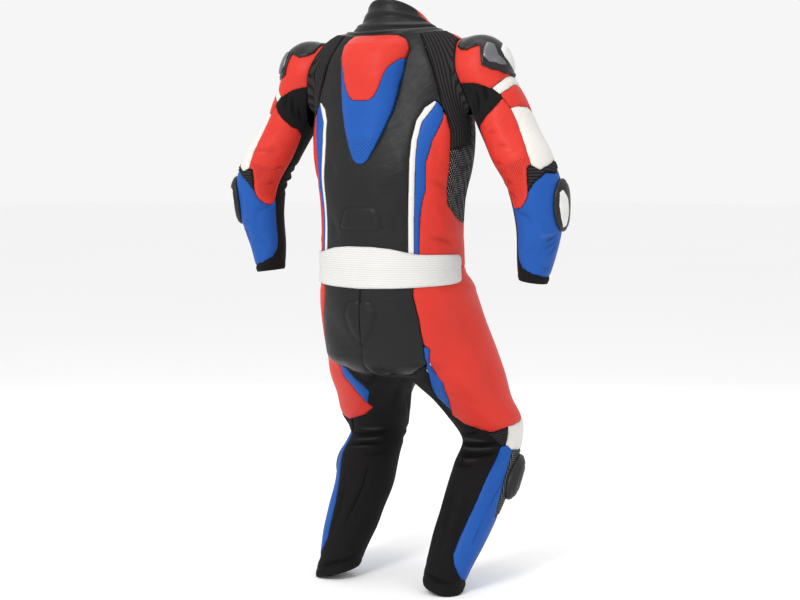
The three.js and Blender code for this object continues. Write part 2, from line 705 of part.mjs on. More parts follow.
const COLOURS = {
  black_leather: 0x2b2b2c,
  black_stretch: 0x1c1b1b,
  black_mesh: 0x242424,
  red_leather: 0xd9412f,
  blue_leather: 0x2b5aa6,
  white_leather: 0xe9e7e2,
  white_elastic: 0xe4e3df,
  hard_black: 0x1f2022,
  slider_plastic: 0x34363a,
  zip_black: 0x151515,
};
const suit = new THREE.Group();
suit.name = 'race_suit';

function addPiece(name, finish, solid) {
  const mesh = solid.getMesh();
  const geometry = new THREE.BufferGeometry();
  const stride = mesh.numProp;
  const points = [];
  for (let i = 0; i < mesh.vertProperties.length; i += stride) {
    points.push(mesh.vertProperties[i], mesh.vertProperties[i + 1], mesh.vertProperties[i + 2] - HELD_HEIGHT);
  }
  geometry.setAttribute('position', new THREE.Float32BufferAttribute(points, 3));
  geometry.setIndex(Array.from(mesh.triVerts));
  geometry.computeVertexNormals();
  const part = new THREE.Mesh(geometry, new THREE.MeshStandardMaterial({ color: COLOURS[finish], roughness: 0.6 }));
  part.name = name;
  suit.add(part);
}
// A piece of the wearer's left side, and its twin on the right.
function addPair(name, finish, solid) {
  addPiece(`${name}_left`, finish, solid);
  addPiece(`${name}_right`, finish, solid.mirror([1, 0, 0]));
}

const bodice = CHARTS.bodice;
const leg = CHARTS.leg;

// Bodice: side pieces first, then the back between them, then what lies on the back.
addPair('white_stripe', 'white_leather', cutPiece(WHITE_STRIPE, [], bodice));
addPair('blue_stripe', 'blue_leather', cutPiece(BLUE_STRIPE, [WHITE_STRIPE], bodice));
addPair('red_side', 'red_leather', cutPiece(RED_SIDE, [WHITE_STRIPE, BLUE_STRIPE], bodice));
const ribbed = cutPiece(RIBBED_SHOULDER, [WHITE_STRIPE, BLUE_STRIPE, RED_SIDE], bodice, shoulderRibLift, shoulderRibGrid(), RIB_SEAM);
addPair('ribbed_shoulder', 'black_stretch', largest(ribbed.intersect(insideArmhole)));
const flank = cutPiece(MESH_FLANK, [RED_SIDE, RIBBED_SHOULDER], bodice);
addPair('mesh_flank', 'black_mesh', largest(flank.intersect(insideArmhole)));
const front = cutPiece(FRONT_PANEL, [RED_SIDE, RIBBED_SHOULDER, MESH_FLANK], bodice, plainWall, null, ARMPIT_SEAM);
addPair('front_panel', 'red_leather', largest(front.intersect(insideArmhole)));
addPiece('front_zip', 'zip_black', cutPiece(FRONT_ZIP, [FRONT_PANEL], bodice));
const sides = [WHITE_STRIPE, BLUE_STRIPE, RED_SIDE, RIBBED_SHOULDER];
const backBefore = [...sides, ...sides.map(mirrored)];
const back = cutPiece(BACK_BLACK, backBefore, bodice, plainWall, null, RIB_SEAM);
addPiece('back_panel', 'black_leather', back);
const beltGrid = gridFor(WAIST_BELT, bodice, 11.25, 35);
addPiece('waist_belt', 'white_elastic', cutPiece(WAIST_BELT, [], bodice, beltLift, beltGrid));
const humpGrid = gridFor(HUMP, bodice, 7.5, 23.333333);
const humpFlat = flatCloth(humpGrid, bodice.perDegree).intersect(cutter(HUMP, bodice.perDegree));
const humpRedCut = cutter(HUMP_RED, bodice.perDegree);
const humpRedGrown = cutter(grown(HUMP_RED, SEAM, bodice.perDegree), bodice.perDegree);
addPiece('hump_red', 'red_leather', wrapped(largest(humpFlat.intersect(humpRedCut)), bodice, humpLift));
addPiece('hump_blue', 'blue_leather', wrapped(largest(humpFlat.subtract(humpRedGrown)), bodice, humpLift));
const COLLAR_SPLIT = { foot: 130, top: 64, seam: 0.35 };
const backFoot = COLLAR_SPLIT.foot - COLLAR_SPLIT.seam;
const frontFoot = COLLAR_SPLIT.foot + COLLAR_SPLIT.seam;
addPiece('collar_back', 'black_leather', collarPiece(-backFoot, backFoot, COLLAR_SPLIT.top - COLLAR_SPLIT.seam));
const frontTop = 180 - COLLAR_SPLIT.top - COLLAR_SPLIT.seam;
addPiece('collar_front', 'red_leather', collarPiece(frontFoot, 360 - frontFoot, frontTop));

// Sleeves, each side cut on its own lay.
const onSleeve = (solid) => largest(solid.intersect(beyondArmhole));
function addSleeves(name, finish, cutOn) {
  addPiece(`${name}_left`, finish, cutOn(CHARTS.leftSleeve));
  addPiece(`${name}_right`, finish, cutOn(CHARTS.sleeve).mirror([1, 0, 0]));
}
addSleeves('arm_band', 'white_leather', (lay) => cutPiece(ARM_BAND, [], lay));
addSleeves('shoulder_red', 'red_leather', (lay) => onSleeve(cutPiece(SHOULDER_RED, [ARM_BAND], lay)));
addSleeves('outer_arm_red', 'red_leather', (lay) => cutPiece(OUTER_ARM_RED, [ARM_BAND], lay));
addSleeves('upper_arm_white', 'white_leather', (lay) => cutPiece(UPPER_ARM_WHITE, [OUTER_ARM_RED], lay));
addSleeves('elbow_ribs', 'black_stretch', (lay) => cutPiece(ELBOW_RIBS, [UPPER_ARM_WHITE], lay));
const redBefore = [ARM_BAND, SHOULDER_RED, OUTER_ARM_RED, UPPER_ARM_WHITE, ELBOW_RIBS];
addSleeves('upper_arm_red', 'red_leather', (lay) => cutPiece(UPPER_ARM_RED, redBefore, lay));
const blueBefore = [UPPER_ARM_RED, UPPER_ARM_WHITE, ELBOW_RIBS];
addSleeves('forearm_blue', 'blue_leather', (lay) => cutPiece(FOREARM_BLUE, blueBefore, lay));
const stretchBefore = [...redBefore, UPPER_ARM_RED, FOREARM_BLUE];
addSleeves('arm_stretch', 'black_stretch', (lay) => (
  onSleeve(cutPiece(ARM_STRETCH, stretchBefore, lay, plainWall, null, ARMPIT_SEAM))
));
addSleeves('shoulder_plate', 'hard_black', (lay) => {
  const grid = gridFor(PLATE, lay, lay.angleStep / 2, lay.rowStep / 2);
  return onSleeve(cutPiece(PLATE, [], lay, hardLift(PLATE, lay, PLATE_LIE, PLATE_HEIGHT, 2.5, 22), grid));
});
const elbowOval = puckOutline(ELBOW_PUCK, 20);
addSleeves('elbow_slider', 'slider_plastic', (lay) => {
  const grid = gridFor(elbowOval, lay, lay.angleStep / 2, lay.rowStep / 2);
  return cutPiece(elbowOval, [], lay, hardLift(elbowOval, lay, ELBOW_LIE, SLIDER_HEIGHT, 4, 26), grid);
});

// Legs.
const onLeg = (solid) => largest(solid.intersect(leftOfMiddle));
addPair('thigh_blue', 'blue_leather', cutPiece(THIGH_BLUE, [], leg));
addPair('seat', 'black_leather', onLeg(cutPiece(SEAT, [THIGH_BLUE], leg)));
addPair('thigh_red', 'red_leather', cutPiece(THIGH_RED, [THIGH_BLUE, SEAT, KNEE_WHITE], leg));
addPair('knee_white', 'white_leather', cutPiece(KNEE_WHITE, [], leg));
const kneeBefore = [KNEE_WHITE, THIGH_RED];
addPair('knee_ribs', 'black_stretch', cutPiece(KNEE_RIBS, kneeBefore, leg));
addPair('shin_blue', 'blue_leather', cutPiece(SHIN_BLUE, [KNEE_WHITE, KNEE_RIBS], leg));
addPair('knee_base', 'black_mesh', cutPiece(KNEE_BASE, [KNEE_WHITE, SHIN_BLUE], leg));
addPair('front_thigh', 'black_leather', onLeg(cutPiece(FRONT_THIGH, [THIGH_RED, KNEE_WHITE], leg)));
const legBefore = [THIGH_BLUE, SEAT, THIGH_RED, KNEE_WHITE, KNEE_RIBS, SHIN_BLUE, KNEE_BASE];
addPair('leg_stretch', 'black_stretch', onLeg(cutPiece(LEG_STRETCH, legBefore, leg)));
const kneeOval = puckOutline(KNEE_PUCK, 22);
const kneePuckGrid = gridFor(kneeOval, leg, leg.angleStep / 2, leg.rowStep / 2);
const kneeLift = hardLift(kneeOval, leg, KNEE_LIE, KNEE_SLIDER_HEIGHT, 5, 34);
addPair('knee_slider', 'slider_plastic', cutPiece(kneeOval, [], leg, kneeLift, kneePuckGrid));

export default suit;
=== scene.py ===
"""A one-piece motorcycle race suit, worn upright and hollow, dressed in leather and stretch cloth.

Lengths are worked in millimetres with heights above the ankle hems, as the cut is drawn.
Each piece goes into its mesh in metres, hung from the middle of the shoulder line.
The chest faces -Y and the wearer's left is +X.
"""
import math
import bpy
import numpy as np
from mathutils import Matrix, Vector


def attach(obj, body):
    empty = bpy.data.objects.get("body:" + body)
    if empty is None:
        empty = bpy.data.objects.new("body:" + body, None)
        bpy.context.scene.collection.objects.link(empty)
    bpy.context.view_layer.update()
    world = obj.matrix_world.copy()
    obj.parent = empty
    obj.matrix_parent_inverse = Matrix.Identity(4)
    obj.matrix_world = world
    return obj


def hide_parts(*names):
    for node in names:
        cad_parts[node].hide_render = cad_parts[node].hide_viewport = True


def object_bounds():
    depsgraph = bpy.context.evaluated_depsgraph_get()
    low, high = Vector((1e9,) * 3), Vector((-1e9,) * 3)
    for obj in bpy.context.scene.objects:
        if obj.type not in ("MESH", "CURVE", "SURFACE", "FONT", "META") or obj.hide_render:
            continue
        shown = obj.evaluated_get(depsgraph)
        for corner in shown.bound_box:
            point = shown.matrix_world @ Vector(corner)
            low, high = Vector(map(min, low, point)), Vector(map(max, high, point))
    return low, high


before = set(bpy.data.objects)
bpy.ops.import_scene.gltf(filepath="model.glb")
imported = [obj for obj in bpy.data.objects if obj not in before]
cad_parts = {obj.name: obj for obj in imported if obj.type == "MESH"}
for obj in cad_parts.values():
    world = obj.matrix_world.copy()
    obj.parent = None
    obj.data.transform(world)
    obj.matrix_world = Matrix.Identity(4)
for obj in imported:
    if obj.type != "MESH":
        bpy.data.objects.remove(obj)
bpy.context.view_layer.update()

# Sizes of the garment.
HELD_HEIGHT = 1272  # from the ankle hems up to the middle of the shoulder line
WALL = 1.7  # thickness of the cloth
SEAM_GAP = 0.3
BLEND = 11  # how softly the tubes of the form run together
WAIST = 760
BODICE_FOOT, TROUSER_TOP = WAIST + 0.2, WAIST - 0.2
ARM_DOME, CAP = 76, 60  # heights of the domes that close the tubes
BELT_LIE, BELT_THICK = 2.0, 2.6
OVERLAY_LIE = 1.4  # foot of what lies on the back, over the form
COLLAR_WALL = 2.6
LEFT_TURN, TURN_LENGTH = 28, 200  # degrees, and the sleeve length they are spread over
SEAM_SINK, SEAM_WIDTH = 1.5, 3.4
PUFF, PUFF_WIDTH = 0.9, 14
CUFF = 512  # length of the sleeve

# Torso sections: height, middle depth, half width, depth to the front, to the back, squareness.
TORSO = np.array([
    [560, 0, 158, 128, 142, 2.2], [640, 0, 168, 134, 153, 2.2], [706, 0, 170, 134, 152, 2.2],
    [795, 0, 172, 126, 149, 2.2], [854, 0, 171, 118, 149, 2.2], [913, 0, 175, 118, 151, 2.2],
    [984, 0, 190, 124, 150, 2.2], [1060, 0, 199, 128, 133, 2.3], [1130, 0, 197, 126, 112, 2.3],
    [1190, 0, 200, 110, 97, 2.3], [1240, 0, 198, 88, 85, 2.3], [1270, 0, 185, 73, 75, 2.2],
    [1290, 0, 160, 63, 68, 2.2], [1304, 0, 128, 55, 61, 2.1], [1318, 0, 80, 46, 50, 2.0]])
# Sleeve sections: height, middle X, middle Y, half width, half depth.
ARM = np.array([
    [735, 359, -10, 33, 35], [790, 366, -10, 42, 44], [860, 376, -2, 51, 53], [950, 369, 10, 62, 63],
    [1010, 340, 10, 69, 72], [1080, 299, -2, 66, 69], [1150, 262, -8, 66, 70],
    [1205, 234, 2, 64, 68.0]])
# Leg sections: height, middle X, middle Y, half width, depth to the front, to the back.
LEG = np.array([
    [-40, 152, 46, 42, 44, 43], [40, 147, 9, 51, 53, 51], [120, 152, -50, 64, 66, 62],
    [200, 156, -112, 71, 73, 71], [280, 162, -154, 72, 78, 69], [330, 161, -190, 70, 79, 62],
    [380, 158, -170, 83, 93, 77], [440, 137, -136, 91, 99, 96], [500, 108, -106, 112, 124, 127],
    [560, 86, -84, 120, 132, 138], [640, 72, -58, 116, 128, 130], [700, 66, -32, 112, 124, 126.0]])
LEG_SQUARE = 2.15
# Sleeve line from the armhole to the cuff: length along it, X, Y, height, dip below level.
SLEEVE_LINE = np.array([
    [-20, 186, -2, 1184, -14], [0, 205, -2, 1180, -14], [40, 238, -1, 1166, 16],
    [90, 266, -4, 1128, 44], [150, 295, -2, 1076, 60], [225, 334, 6, 1010, 65], [300, 361, 9, 943, 78],
    [390, 372, -2, 855, 94], [460, 364, -9, 786, 98], [512, 357, -10, 735, 98.0]])


def laid_out(rows):
    """A table read every half millimetre along a smooth curve: cubic pieces whose slope at each row
    is the mean of the slopes on its two sides, each weighted by the other side's length."""
    x, y = rows[:, 0], rows[:, 1:]
    gap = np.diff(x)[:, None]
    rise = np.diff(y, axis=0) / gap
    inner = (rise[:-1] * gap[1:] + rise[1:] * gap[:-1]) / (gap[:-1] + gap[1:])
    slope = np.vstack([rise[:1], inner, rise[-1:]])
    at = np.arange(x[0], x[-1] + 0.25, 0.5)
    i = np.clip(np.searchsorted(x, at, side="right") - 1, 0, len(x) - 2)
    f = ((at - x[i]) / gap[i, 0])[:, None]
    h = gap[i]
    value = (2 * f**3 - 3 * f**2 + 1) * y[i] + (3 * f**2 - 2 * f**3) * y[i + 1]
    value += (f**3 - 2 * f**2 + f) * h * slope[i] + (f**3 - f**2) * h * slope[i + 1]
    return at, value


TORSO_CURVE, ARM_CURVE, LEG_CURVE, SLEEVE_CURVE = (laid_out(t) for t in (TORSO, ARM, LEG, SLEEVE_LINE))


def read(curve, x):
    """Every column of a laid out table at x."""
    at, value = curve
    return [np.interp(x, at, value[:, k]) for k in range(value.shape[1])]


def tube_level(dx, dy, half, front, back, square, beyond, cap):
    """How far outside one tube a point is: (rho - 1) times the tube's least half size, where rho is
    the point's distance from the middle as a share of the squared-off oval, and beyond, the height
    past the tube's last section, closes the end in a dome of height cap."""
    depth = np.where(dy > 0, back, front)
    flat = (np.abs(dx) / half)**square + (np.abs(dy) / depth)**square
    rho = np.sqrt(flat**(2 / square) + (beyond / cap)**2)
    return (rho - 1) * np.minimum(half, np.minimum(front, back))


def suit_level(p):
    """How far outside the filled-out suit a point is: the torso, two sleeves and two legs joined by
    a smooth least value, minus BLEND times the log of the sum of exp(-level / BLEND)."""
    x, y, z = p[..., 0], p[..., 1], p[..., 2]
    t, a, l = read(TORSO_CURVE, z), read(ARM_CURVE, z), read(LEG_CURVE, z)
    over = np.maximum(z - TORSO[-1, 0], 0) + np.maximum(TORSO[0, 0] - z, 0)
    levels = [tube_level(x, y - t[0], t[1], t[2], t[3], t[4], over, CAP)]
    arm_over = np.maximum(z - ARM[-1, 0], 0)
    leg_over = np.maximum(z - LEG[-1, 0], 0)
    for side in (-1, 1):
        levels.append(tube_level(x - side * a[0], y - a[1], a[2], a[3], a[3], 2, arm_over, ARM_DOME))
        levels.append(tube_level(x - side * l[0], y - l[1], l[2], l[3], l[4], LEG_SQUARE, leg_over,
                                 CAP))
    levels = np.stack(levels)
    low = levels.min(axis=0)
    return low - BLEND * np.log(np.exp((low - levels) / BLEND).sum(axis=0))


STEP_SHARE, LEAST_STEP, MOST_STEP, MOST_STEPS, HALVINGS = 0.7, 2.5, 9, 400, 14


def leave(origin, way, reach):
    """Where rays from inside the suit first leave it: steps of a share of the depth still inside,
    then halving between the last point inside and the first outside."""
    near = np.zeros(origin.shape[:-1])
    far = np.full(near.shape, np.nan)
    for _ in range(MOST_STEPS):
        going = np.isnan(far) & (near < reach)
        if not going.any():
            break
        level = suit_level(origin[going] + way[going] * near[going][:, None])
        step = np.clip(-STEP_SHARE * level, LEAST_STEP, MOST_STEP)
        beyond = near[going] + step
        out = suit_level(origin[going] + way[going] * beyond[:, None]) >= 0
        far[going] = np.where(out, beyond, np.nan)
        near[going] = np.where(out, near[going], beyond)
    far = np.where(np.isnan(far), near, far)
    for _ in range(HALVINGS):
        middle = (near + far) / 2
        inside = suit_level(origin + way * middle[..., None]) < 0
        near, far = np.where(inside, middle, near), np.where(inside, far, middle)
    return origin + way * near[..., None]


def suit_normal(p, reach=0.8):
    """The outward direction: the slope of suit_level over reach millimetres each way."""
    out = np.stack([suit_level(p + reach * e) - suit_level(p - reach * e) for e in np.eye(3)], axis=-1)
    return out / np.linalg.norm(out, axis=-1, keepdims=True)


# Three ways of laying flat cloth round the form: an angle in degrees, 0 at the back and 90 at the
# side, and a height, or a length along the sleeve.
# The bodice's rays: the height where they start to tilt, the height over which the ring shrinks,
# the ring's half width, how much it shrinks and rises, the sideways share and the tilt's rate.
FAN_START, FAN_SPAN = 1120, 210
RING, RING_SHRINK, RING_RISE, SIDE_LEAN, FAN_RATE = 128, 0.75, 0.35, 0.6, 3


def bodice_at(angle, row):
    """Rays from a flattened ring that leave the middle sideways and tilt up over the shoulders:
    the ring narrows and the rays rise by a degree every 3 mm above FAN_START."""
    t = np.radians(angle)
    up = np.maximum(0, row - FAN_START)
    tilt = np.radians(up / FAN_RATE)
    spread = RING * (1 - RING_SHRINK * up / FAN_SPAN)
    origin = np.stack([spread * np.sin(t), 0 * t, np.minimum(row, FAN_START) + RING_RISE * up], axis=-1)
    dx, dy = SIDE_LEAN * np.sin(t), np.cos(t)
    n = np.hypot(dx, dy)
    way = np.stack([dx / n * np.cos(tilt), dy / n * np.cos(tilt), np.sin(tilt)], axis=-1)
    return leave(origin, way, 420)


def leg_at(angle, row):
    """Level rays from the leg's middle line."""
    l = read(LEG_CURVE, row)
    t = np.radians(angle)
    way = np.stack([np.sin(t), np.cos(t), 0 * t], axis=-1)
    return leave(np.stack([l[0], l[1], row], axis=-1), way, 330)


def sleeve_at(angle, row):
    """Rays square to the sleeve line: cos(angle) to the back, sin(angle) along the dipped up way."""
    x, y, z, dip = read(SLEEVE_CURVE, row)
    t, d = np.radians(angle), np.radians(dip)
    way = np.stack([np.sin(t) * np.sin(d), np.cos(t), np.sin(t) * np.cos(d)], axis=-1)
    return leave(np.stack([x, y, z], axis=-1), way, 190)


def turned_sleeve_at(angle, row):
    """The left sleeve hangs turned towards the back, evenly from the shoulder down to the elbow."""
    return sleeve_at(angle - LEFT_TURN * np.clip(row / TURN_LENGTH, 0, 1), row)


# Each chart: its function, flat millimetres per degree, real millimetres per degree at its usual
# girth, and the grid's step in degrees and in millimetres.
CHARTS = {
    "bodice": (bodice_at, 2.6, 3.2, 1.5, 4.5),
    "leg": (leg_at, 1.31, 1.9, 2.4, 4.5),
    "sleeve_left": (turned_sleeve_at, 1.15, 1.15, 3.6, 4.5),
    "sleeve_right": (sleeve_at, 1.15, 1.15, 3.6, 4.5),
}
ARMHOLE_DIP = math.radians(SLEEVE_LINE[1, 4])
ARMHOLE_WAY = np.array([math.cos(ARMHOLE_DIP), 0, -math.sin(ARMHOLE_DIP)])
ARMHOLE_MIDDLE = SLEEVE_LINE[1, 1:4]


def neck_row(angle):
    return 1284 + 8 * math.cos(math.radians(angle))


def neck_edge(start, end):
    """The neck seam every ten degrees."""
    low, high = min(start, end), max(start, end)
    middle = [a for a in range(-360, 361, 10) if low + 1 < a < high - 1]
    angles = [low, *middle, high]
    if end < start:
        angles.reverse()
    return [(a, neck_row(a)) for a in angles]


def mirrored(outline):
    return [(-a, r) for a, r in reversed(outline)]


def whole(half):
    """A half outline from the bottom centre round to the top centre, made whole."""
    return half + [p for p in mirrored(half) if abs(p[0]) > 1e-6]


# Outlines of the bodice pieces, (angle, height), for the wearer's left.
WHITE_STRIPE = [
    (31, BODICE_FOOT), (31, 873), (32, 1007), (33, 1052), (36, 1097), (42, 1124), (52.6, 1142),
    (54.4, 1141), (46, 1115), (40, 1092), (37, 1052), (36, 1007), (35, 873), (35, BODICE_FOOT)]
BLUE_STRIPE = [
    (35, BODICE_FOOT), (35, 873), (36, 1007), (37, 1052), (40, 1092), (46, 1115), (54.4, 1141),
    (57, 1125), (57, 1101), (53, 1079), (48, 1052), (46, 1029), (43, 1000), (43, 940), (41, 918),
    (39, 873), (38, BODICE_FOOT)]
RED_SIDE = [
    (38, BODICE_FOOT), (39, 873), (41, 918), (43, 940), (43, 1000), (46, 1029), (48, 1052), (53, 1079),
    (57, 1101), (57.4, 1116), (59.6, 1108), (63, 1074), (63, 1007), (62, 939), (64, 905), (79, 880),
    (112, 862), (120, 860), (120, BODICE_FOOT)]
RIBBED_SHOULDER = [
    (63, 1030), (63, 1074), (59.6, 1108), (57, 1125), (57, 1132), (58, 1155), (59, 1211), (59, 1248),
    *neck_edge(60, 88),
    (88, 1255), (84, 1225), (84, 1120), (86, 1104), (92, 1085), (98, 1045)]
MESH_FLANK = [
    (79, 880), (64, 905), (62, 939), (63, 1007), (63, 1032), (98, 1047), (92, 1085), (86, 1104),
    (88, 1112), (104, 1104), (120, 1075), (120, 860), (112, 862)]
FRONT_PANEL = [
    (120, BODICE_FOOT), (178.2, BODICE_FOOT), *neck_edge(178.2, 88), (88, 1104), (104, 1104),
    (120, 1075)]
FRONT_ZIP = [(178.4, BODICE_FOOT), (181.6, BODICE_FOOT), (181.6, 1276), (178.4, 1276)]
BACK_BLACK = whole([
    (0, BODICE_FOOT), (31, BODICE_FOOT), (31, 873), (32, 1007), (33, 1052), (36, 1097), (42, 1124),
    (54, 1142), (57, 1132), (58, 1155), (59, 1211), (59, 1248), *neck_edge(60, 0)])
WAIST_BELT = whole([
    (0, 715), (20, 717), (46, 721), (67, 723), (84, 726), (90, 728), (94, 733), (95.5, 741), (96, 776),
    (94.6, 784), (91, 789), (86, 791), (55, 793), (40, 794), (34, 796), (29, 800), (20, 807), (8, 811),
    (0, 811)])
HUMP = whole([
    (0, 997), (2, 998), (5, 1006), (9, 1033), (15, 1080), (19.5, 1120), (26.5, 1178), (37, 1236),
    (43, 1258), (44, 1270), (42, 1280), (35, 1286), (20, 1288), (0, 1288)])
HUMP_RED = whole([
    (0, 1131), (6, 1132), (10, 1142), (13, 1158), (16.5, 1180), (19, 1195), (23, 1212), (31, 1229),
    (40, 1242), (48, 1247), (70, 1250), (70, 1300), (0, 1300)])
# Rise of the hump over the back: row, height at the middle, half width in degrees.
HUMP_RISE = np.array([
    [990, 3, 4], [1006, 6, 6.5], [1033, 12, 10.5], [1080, 22, 16.5], [1120, 33, 21], [1178, 48, 28],
    [1215, 53, 34], [1240, 52, 40], [1262, 44, 45], [1288, 20, 46.0]])
LUMBAR_PAD = whole([(0, 849), (12, 849), (14.6, 853), (11.5, 890), (8.6, 898), (0, 899)])

# Outlines of the sleeve pieces, (angle, length from the armhole).
UNDER, OVER = -159.8, 199.8
ARM_BAND = [
    (34, 81), (53, 81), (76, 78), (110, 76), (OVER, 80), (OVER, 93), (110, 91), (88, 91), (62, 96),
    (41, 97)]
SHOULDER_RED = [
    (-2, -18), (-2, 4), (7, 35), (19, 59), (30, 78), (34, 81), (53, 81), (76, 78), (110, 76),
    (OVER, 80), (OVER, -18)]
OUTER_ARM_RED = [
    (43, 105), (41, 97), (62, 96), (88, 91), (110, 91), (OVER, 93), (OVER, 138), (116, 141), (100, 134),
    (49, 128)]
UPPER_ARM_WHITE = [
    (49, 128), (50, 156), (45, 190), (40, 225), (38, 258), (51, 271), (85, 262), (107, 254), (140, 258),
    (OVER, 262), (OVER, 138), (116, 141), (100, 134)]
ELBOW_RIBS = [
    (30, 258), (38, 258), (51, 271), (85, 262), (107, 254), (140, 258), (140, 268), (118, 270),
    (91, 281), (60, 278), (36, 292), (19, 309), (23, 285)]
UPPER_ARM_RED = [
    (-30, 117), (-19, 119), (3, 115), (21, 112), (43, 105), (49, 128), (50, 156), (45, 190), (40, 225),
    (38, 258), (30, 258), (23, 285), (19, 309), (14, 321), (5, 332), (-8, 341), (-24, 345), (-36, 342),
    (-43, 330), (-46, 312), (-46, 175), (-44, 130)]
FOREARM_BLUE = [
    (-46, 312), (-43, 330), (-36, 342), (-24, 345), (-8, 341), (5, 332), (14, 321), (19, 309),
    (36, 292), (60, 278), (91, 281), (118, 270), (140, 258), (OVER, 262), (OVER, 474), (120, 494),
    (70, 495), (20, 490), (-18, 480), (-38, 463), (-46, 440), (-46, 385)]
ARM_STRETCH = [
    (UNDER, -18), (60, -18), (60, 330), (60, 450), (OVER, 450), (OVER, 512), (UNDER, 512)]
PLATE = [
    (62, 5), (55, 12), (52, 21), (57, 27), (63, 33), (52, 39), (42, 47), (50, 60), (73, 74), (100, 79),
    (124, 72), (136, 50), (132, 24), (116, 8), (82, 5)]
PLATE_METAL = [(52, 43), (60, 39), (70, 37), (75, 43), (70, 54), (79, 66), (66, 63), (53, 53)]
PLATE_COVER = [
    (79, 51), (92, 45), (106, 44), (118, 46), (124, 53), (120, 62), (110, 68), (98, 69), (88, 66),
    (79, 59)]

# Outlines of the leg pieces, (angle, height). Above the crotch they run past the middle, where
# they are cut at the centre seam.
BACK_MIDDLE = [
    (-42, 503), (-38, 506), (-33, 514), (-28.5, 530), (-26, 560), (-24, 650), (-25, TROUSER_TOP)]
FRONT_MIDDLE = [
    (216, TROUSER_TOP), (217, 650), (224, 560), (231, 530), (237, 514), (243, 502), (250, 494),
    (255, 490)]
INNER_SEAM = [(-85.5, 486), (-91.5, 470), (-114.5, 440), (-139.5, 410), (-149.8, 392)]
THIGH_BLUE = [
    (18, 589), (14, 541), (-4, 486), (-24, 447), (-21, 414), (-18, 418), (-4, 446), (12, 490),
    (12, 513), (21, 576)]
SEAT = [*BACK_MIDDLE, (20, TROUSER_TOP), (20, 646), (18, 589), (14, 541), (-5, 515)]
THIGH_RED = [
    (20, TROUSER_TOP), (20, 646), (18, 589), (21, 576), (12, 513), (12, 490), (-4, 446), (-18, 418),
    (-21, 414), (-30, 402), (-15, 382), (9, 371), (32, 362), (58, 374), (85, 381), (110, 386),
    (150, 398), (150, TROUSER_TOP)]
KNEE_WHITE = [
    (65, 377), (57, 330), (75, 317), (120, 312), (209.8, 316), (209.8, 394), (150, 398), (110, 386),
    (85, 381)]
KNEE_RIBS = [(18, 369), (32, 362), (58, 374), (65, 377), (57, 330), (47, 326), (34, 342)]
SHIN_BLUE = [
    (57, 330), (47, 326), (41, 288), (35, 255), (30, 211), (26, 169), (23, 119), (24, 94), (35, 74),
    (54, 55), (77, 38), (110, 30), (150, 27), (209.8, 32), (209.8, 165), (94, 166), (83, 194),
    (76, 252), (78, 285), (76, 312), (75, 317)]
KNEE_BASE = [
    (75, 317), (76, 312), (78, 285), (76, 252), (83, 194), (94, 166), (209.8, 165), (209.8, 316),
    (120, 312)]
FRONT_THIGH = [
    (150, TROUSER_TOP), (150, 398), (209.8, 394), (219.5, 410), (244.5, 440), (267.5, 470),
    (273.5, 486), *reversed(FRONT_MIDDLE)]
HEM_TURN = 70


def hem_height(angle):
    return 16 - 12 * np.cos(np.radians(angle - HEM_TURN))


HEM = [(a, float(hem_height(a))) for a in np.linspace(-149.8, 209.8, 25)]
LEG_STRETCH = [
    *HEM, (209.8, 60), (100, 60), (100, 545), (14, 560), (-34, 516), (-42, 502), (-58, 498), (-68, 494),
    (-74, 490), *INNER_SEAM]
COCCYX_PAD = [(-29, 686), (-12, 686), (-8.5, 657), (-12.5, 618), (-20, 584), (-29, 575)]


def oval(angle, row, half_angle, half_row, count=40):
    t = np.arange(count) / count * 2 * np.pi
    return [(angle + half_angle * c, row + half_row * s) for c, s in zip(np.cos(t), np.sin(t))]


ELBOW_PUCK = (104, 342, 40, 50)
KNEE_PUCK = (118, 252, 36, 50)

